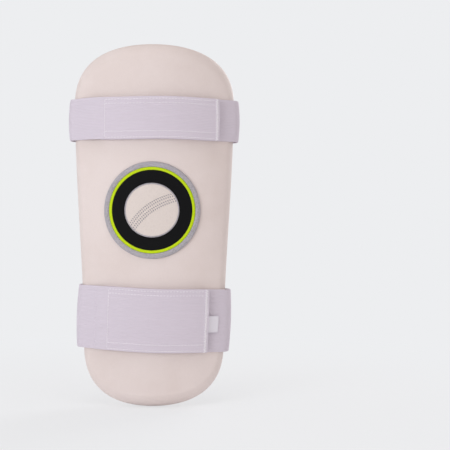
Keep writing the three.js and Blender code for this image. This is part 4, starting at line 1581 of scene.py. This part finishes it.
@dataclass(frozen=True)
class Studio:
    """Pale floor and surroundings, soft lamps and the camera."""

    background: str = "edeef0"
    sky: str = "fffaf8"
    matt: str = "f6f7f9"
    ambient: float = 0.55
    glow: float = 0.68
    floor_radius: float = 9.0
    floor_drop: float = 0.0006
    rim_points: int = 96
    camera_at: tuple[float, float, float] = (0.069, -0.975, 0.0)
    lens: float = 80.0
    lamps: tuple[Lamp, ...] = (
        Lamp("key", (-1.1, -1.25, 0.15), 0.9, 11.2, (0.95, 0.975, 1.0)),
        Lamp("fill", (1.25, -1.2, -0.05), 1.2, 3.2, (1.0, 0.84, 0.76)),
        Lamp("top", (0.0, -0.5, 1.5), 0.9, 4.0),
        Lamp("back_key", (0.9, 1.35, 0.75), 1.0, 11.0),
    )

    @staticmethod
    def seen(graph: Graph) -> Signal:
        """1 where a camera, mirror or glass ray looks, 0 for the light that falls on things."""
        path = graph.node("ShaderNodeLightPath")
        rays = [Signal(graph, path.outputs[name]) for name in
                ("Is Camera Ray", "Is Glossy Ray", "Is Transmission Ray")]
        return rays[0].maths("MAXIMUM", rays[1]).maths("MAXIMUM", rays[2])

    def surroundings(self) -> None:
        """World: the background's colour where it is seen, and plain soft light elsewhere."""
        world = bpy.data.worlds.new("surroundings")
        world.use_nodes = True
        bpy.context.scene.world = world
        graph = Graph(world.node_tree)
        light = graph.add("ShaderNodeBackground", {}, {"Color": linear(self.sky), "Strength": self.ambient})
        shown = graph.add("ShaderNodeBackground", {}, {"Color": linear(self.background), "Strength": 1.0})
        mixed = graph.add("ShaderNodeMixShader", {}, {0: self.seen(graph), 1: light, 2: shown})
        graph.node("ShaderNodeOutputWorld", {}, {"Surface": mixed})

    def floor(self) -> bpy.types.Object:
        """Round floor under the guard, lit in part by itself, so that it melts into the background."""
        material = bpy.data.materials.new("studio_floor")
        material.use_nodes = True
        graph = Graph(material.node_tree)
        glow = graph.add("ShaderNodeEmission", {}, {"Color": linear(self.background), "Strength": 1.0})
        matt = graph.add("ShaderNodeBsdfDiffuse", {}, {"Color": linear(self.matt)})
        place = graph.add("ShaderNodeTexCoord", output="Object")
        away = graph.add("ShaderNodeVectorMath", {"operation": "LENGTH"}, {0: place}, "Value")
        share = self.glow + away.above(0.15, 0.6) * (1 - self.glow)
        mixed = graph.add("ShaderNodeMixShader", {}, {0: self.seen(graph) * share, 1: matt, 2: glow})
        graph.node("ShaderNodeOutputMaterial", {}, {"Surface": mixed})
        turn = np.linspace(0, 2 * np.pi, self.rim_points, endpoint=False)
        low = CAD_BOX[0][2] - self.floor_drop
        reach = self.floor_radius
        rim = np.stack([reach * np.cos(turn), reach * np.sin(turn), np.full(self.rim_points, low)], axis=1)
        mesh = bpy.data.meshes.new("studio_floor")
        mesh.from_pydata(rim.tolist(), [], [list(range(self.rim_points))])
        mesh.materials.append(material)
        floor = bpy.data.objects.new("studio_floor", mesh)
        bpy.context.scene.collection.objects.link(floor)
        return floor

    def build(self) -> None:
        """Makes the studio and points the camera straight ahead."""
        scene = bpy.context.scene
        scene.view_settings.view_transform = "Standard"
        self.surroundings()
        self.floor()
        for lamp in self.lamps:
            lamp.build((0.0, 0.0, 0.0))
        view = bpy.data.cameras.new("camera")
        view.lens, view.sensor_width = self.lens, 36.0
        camera = bpy.data.objects.new("camera", view)
        scene.collection.objects.link(camera)
        camera.location, camera.rotation_euler = self.camera_at, (math.pi / 2, 0.0, 0.0)
        scene.camera = camera


def main() -> None:
    """Builds the studio, the pad, the badge and the straps, and reports each piece."""
    logging.basicConfig(level=logging.INFO, format="%(name)s: %(message)s")
    Studio().build()
    outline = Outline.of_frame()
    upper = Strap("upper", width=40.0, slope=0.008, fixed_start=-50.0, loop_start=-40.0, loop_end=54.0,
                  hook_start=-44.0, flap_end=63.0, outline=outline)
    lower = Strap("lower", width=60.0, slope=0.034, fixed_start=-47.0, loop_start=-37.0, loop_end=45.0,
                  hook_start=-41.0, flap_end=52.0, outline=outline, tack_at=-54.0, labelled=True)
    swelling = Swelling(outline, [(strap.bottom, strap.bottom + strap.width) for strap in (upper, lower)])
    pieces: list[bpy.types.Object] = []
    for assembly in (Pad(outline, swelling), Badge(swelling), upper, lower):
        pieces += assembly.build()
    LOG.info("%d pieces, %d faces", len(pieces), sum(len(piece.data.polygons) for piece in pieces))


if __name__ == "__main__":
    main()
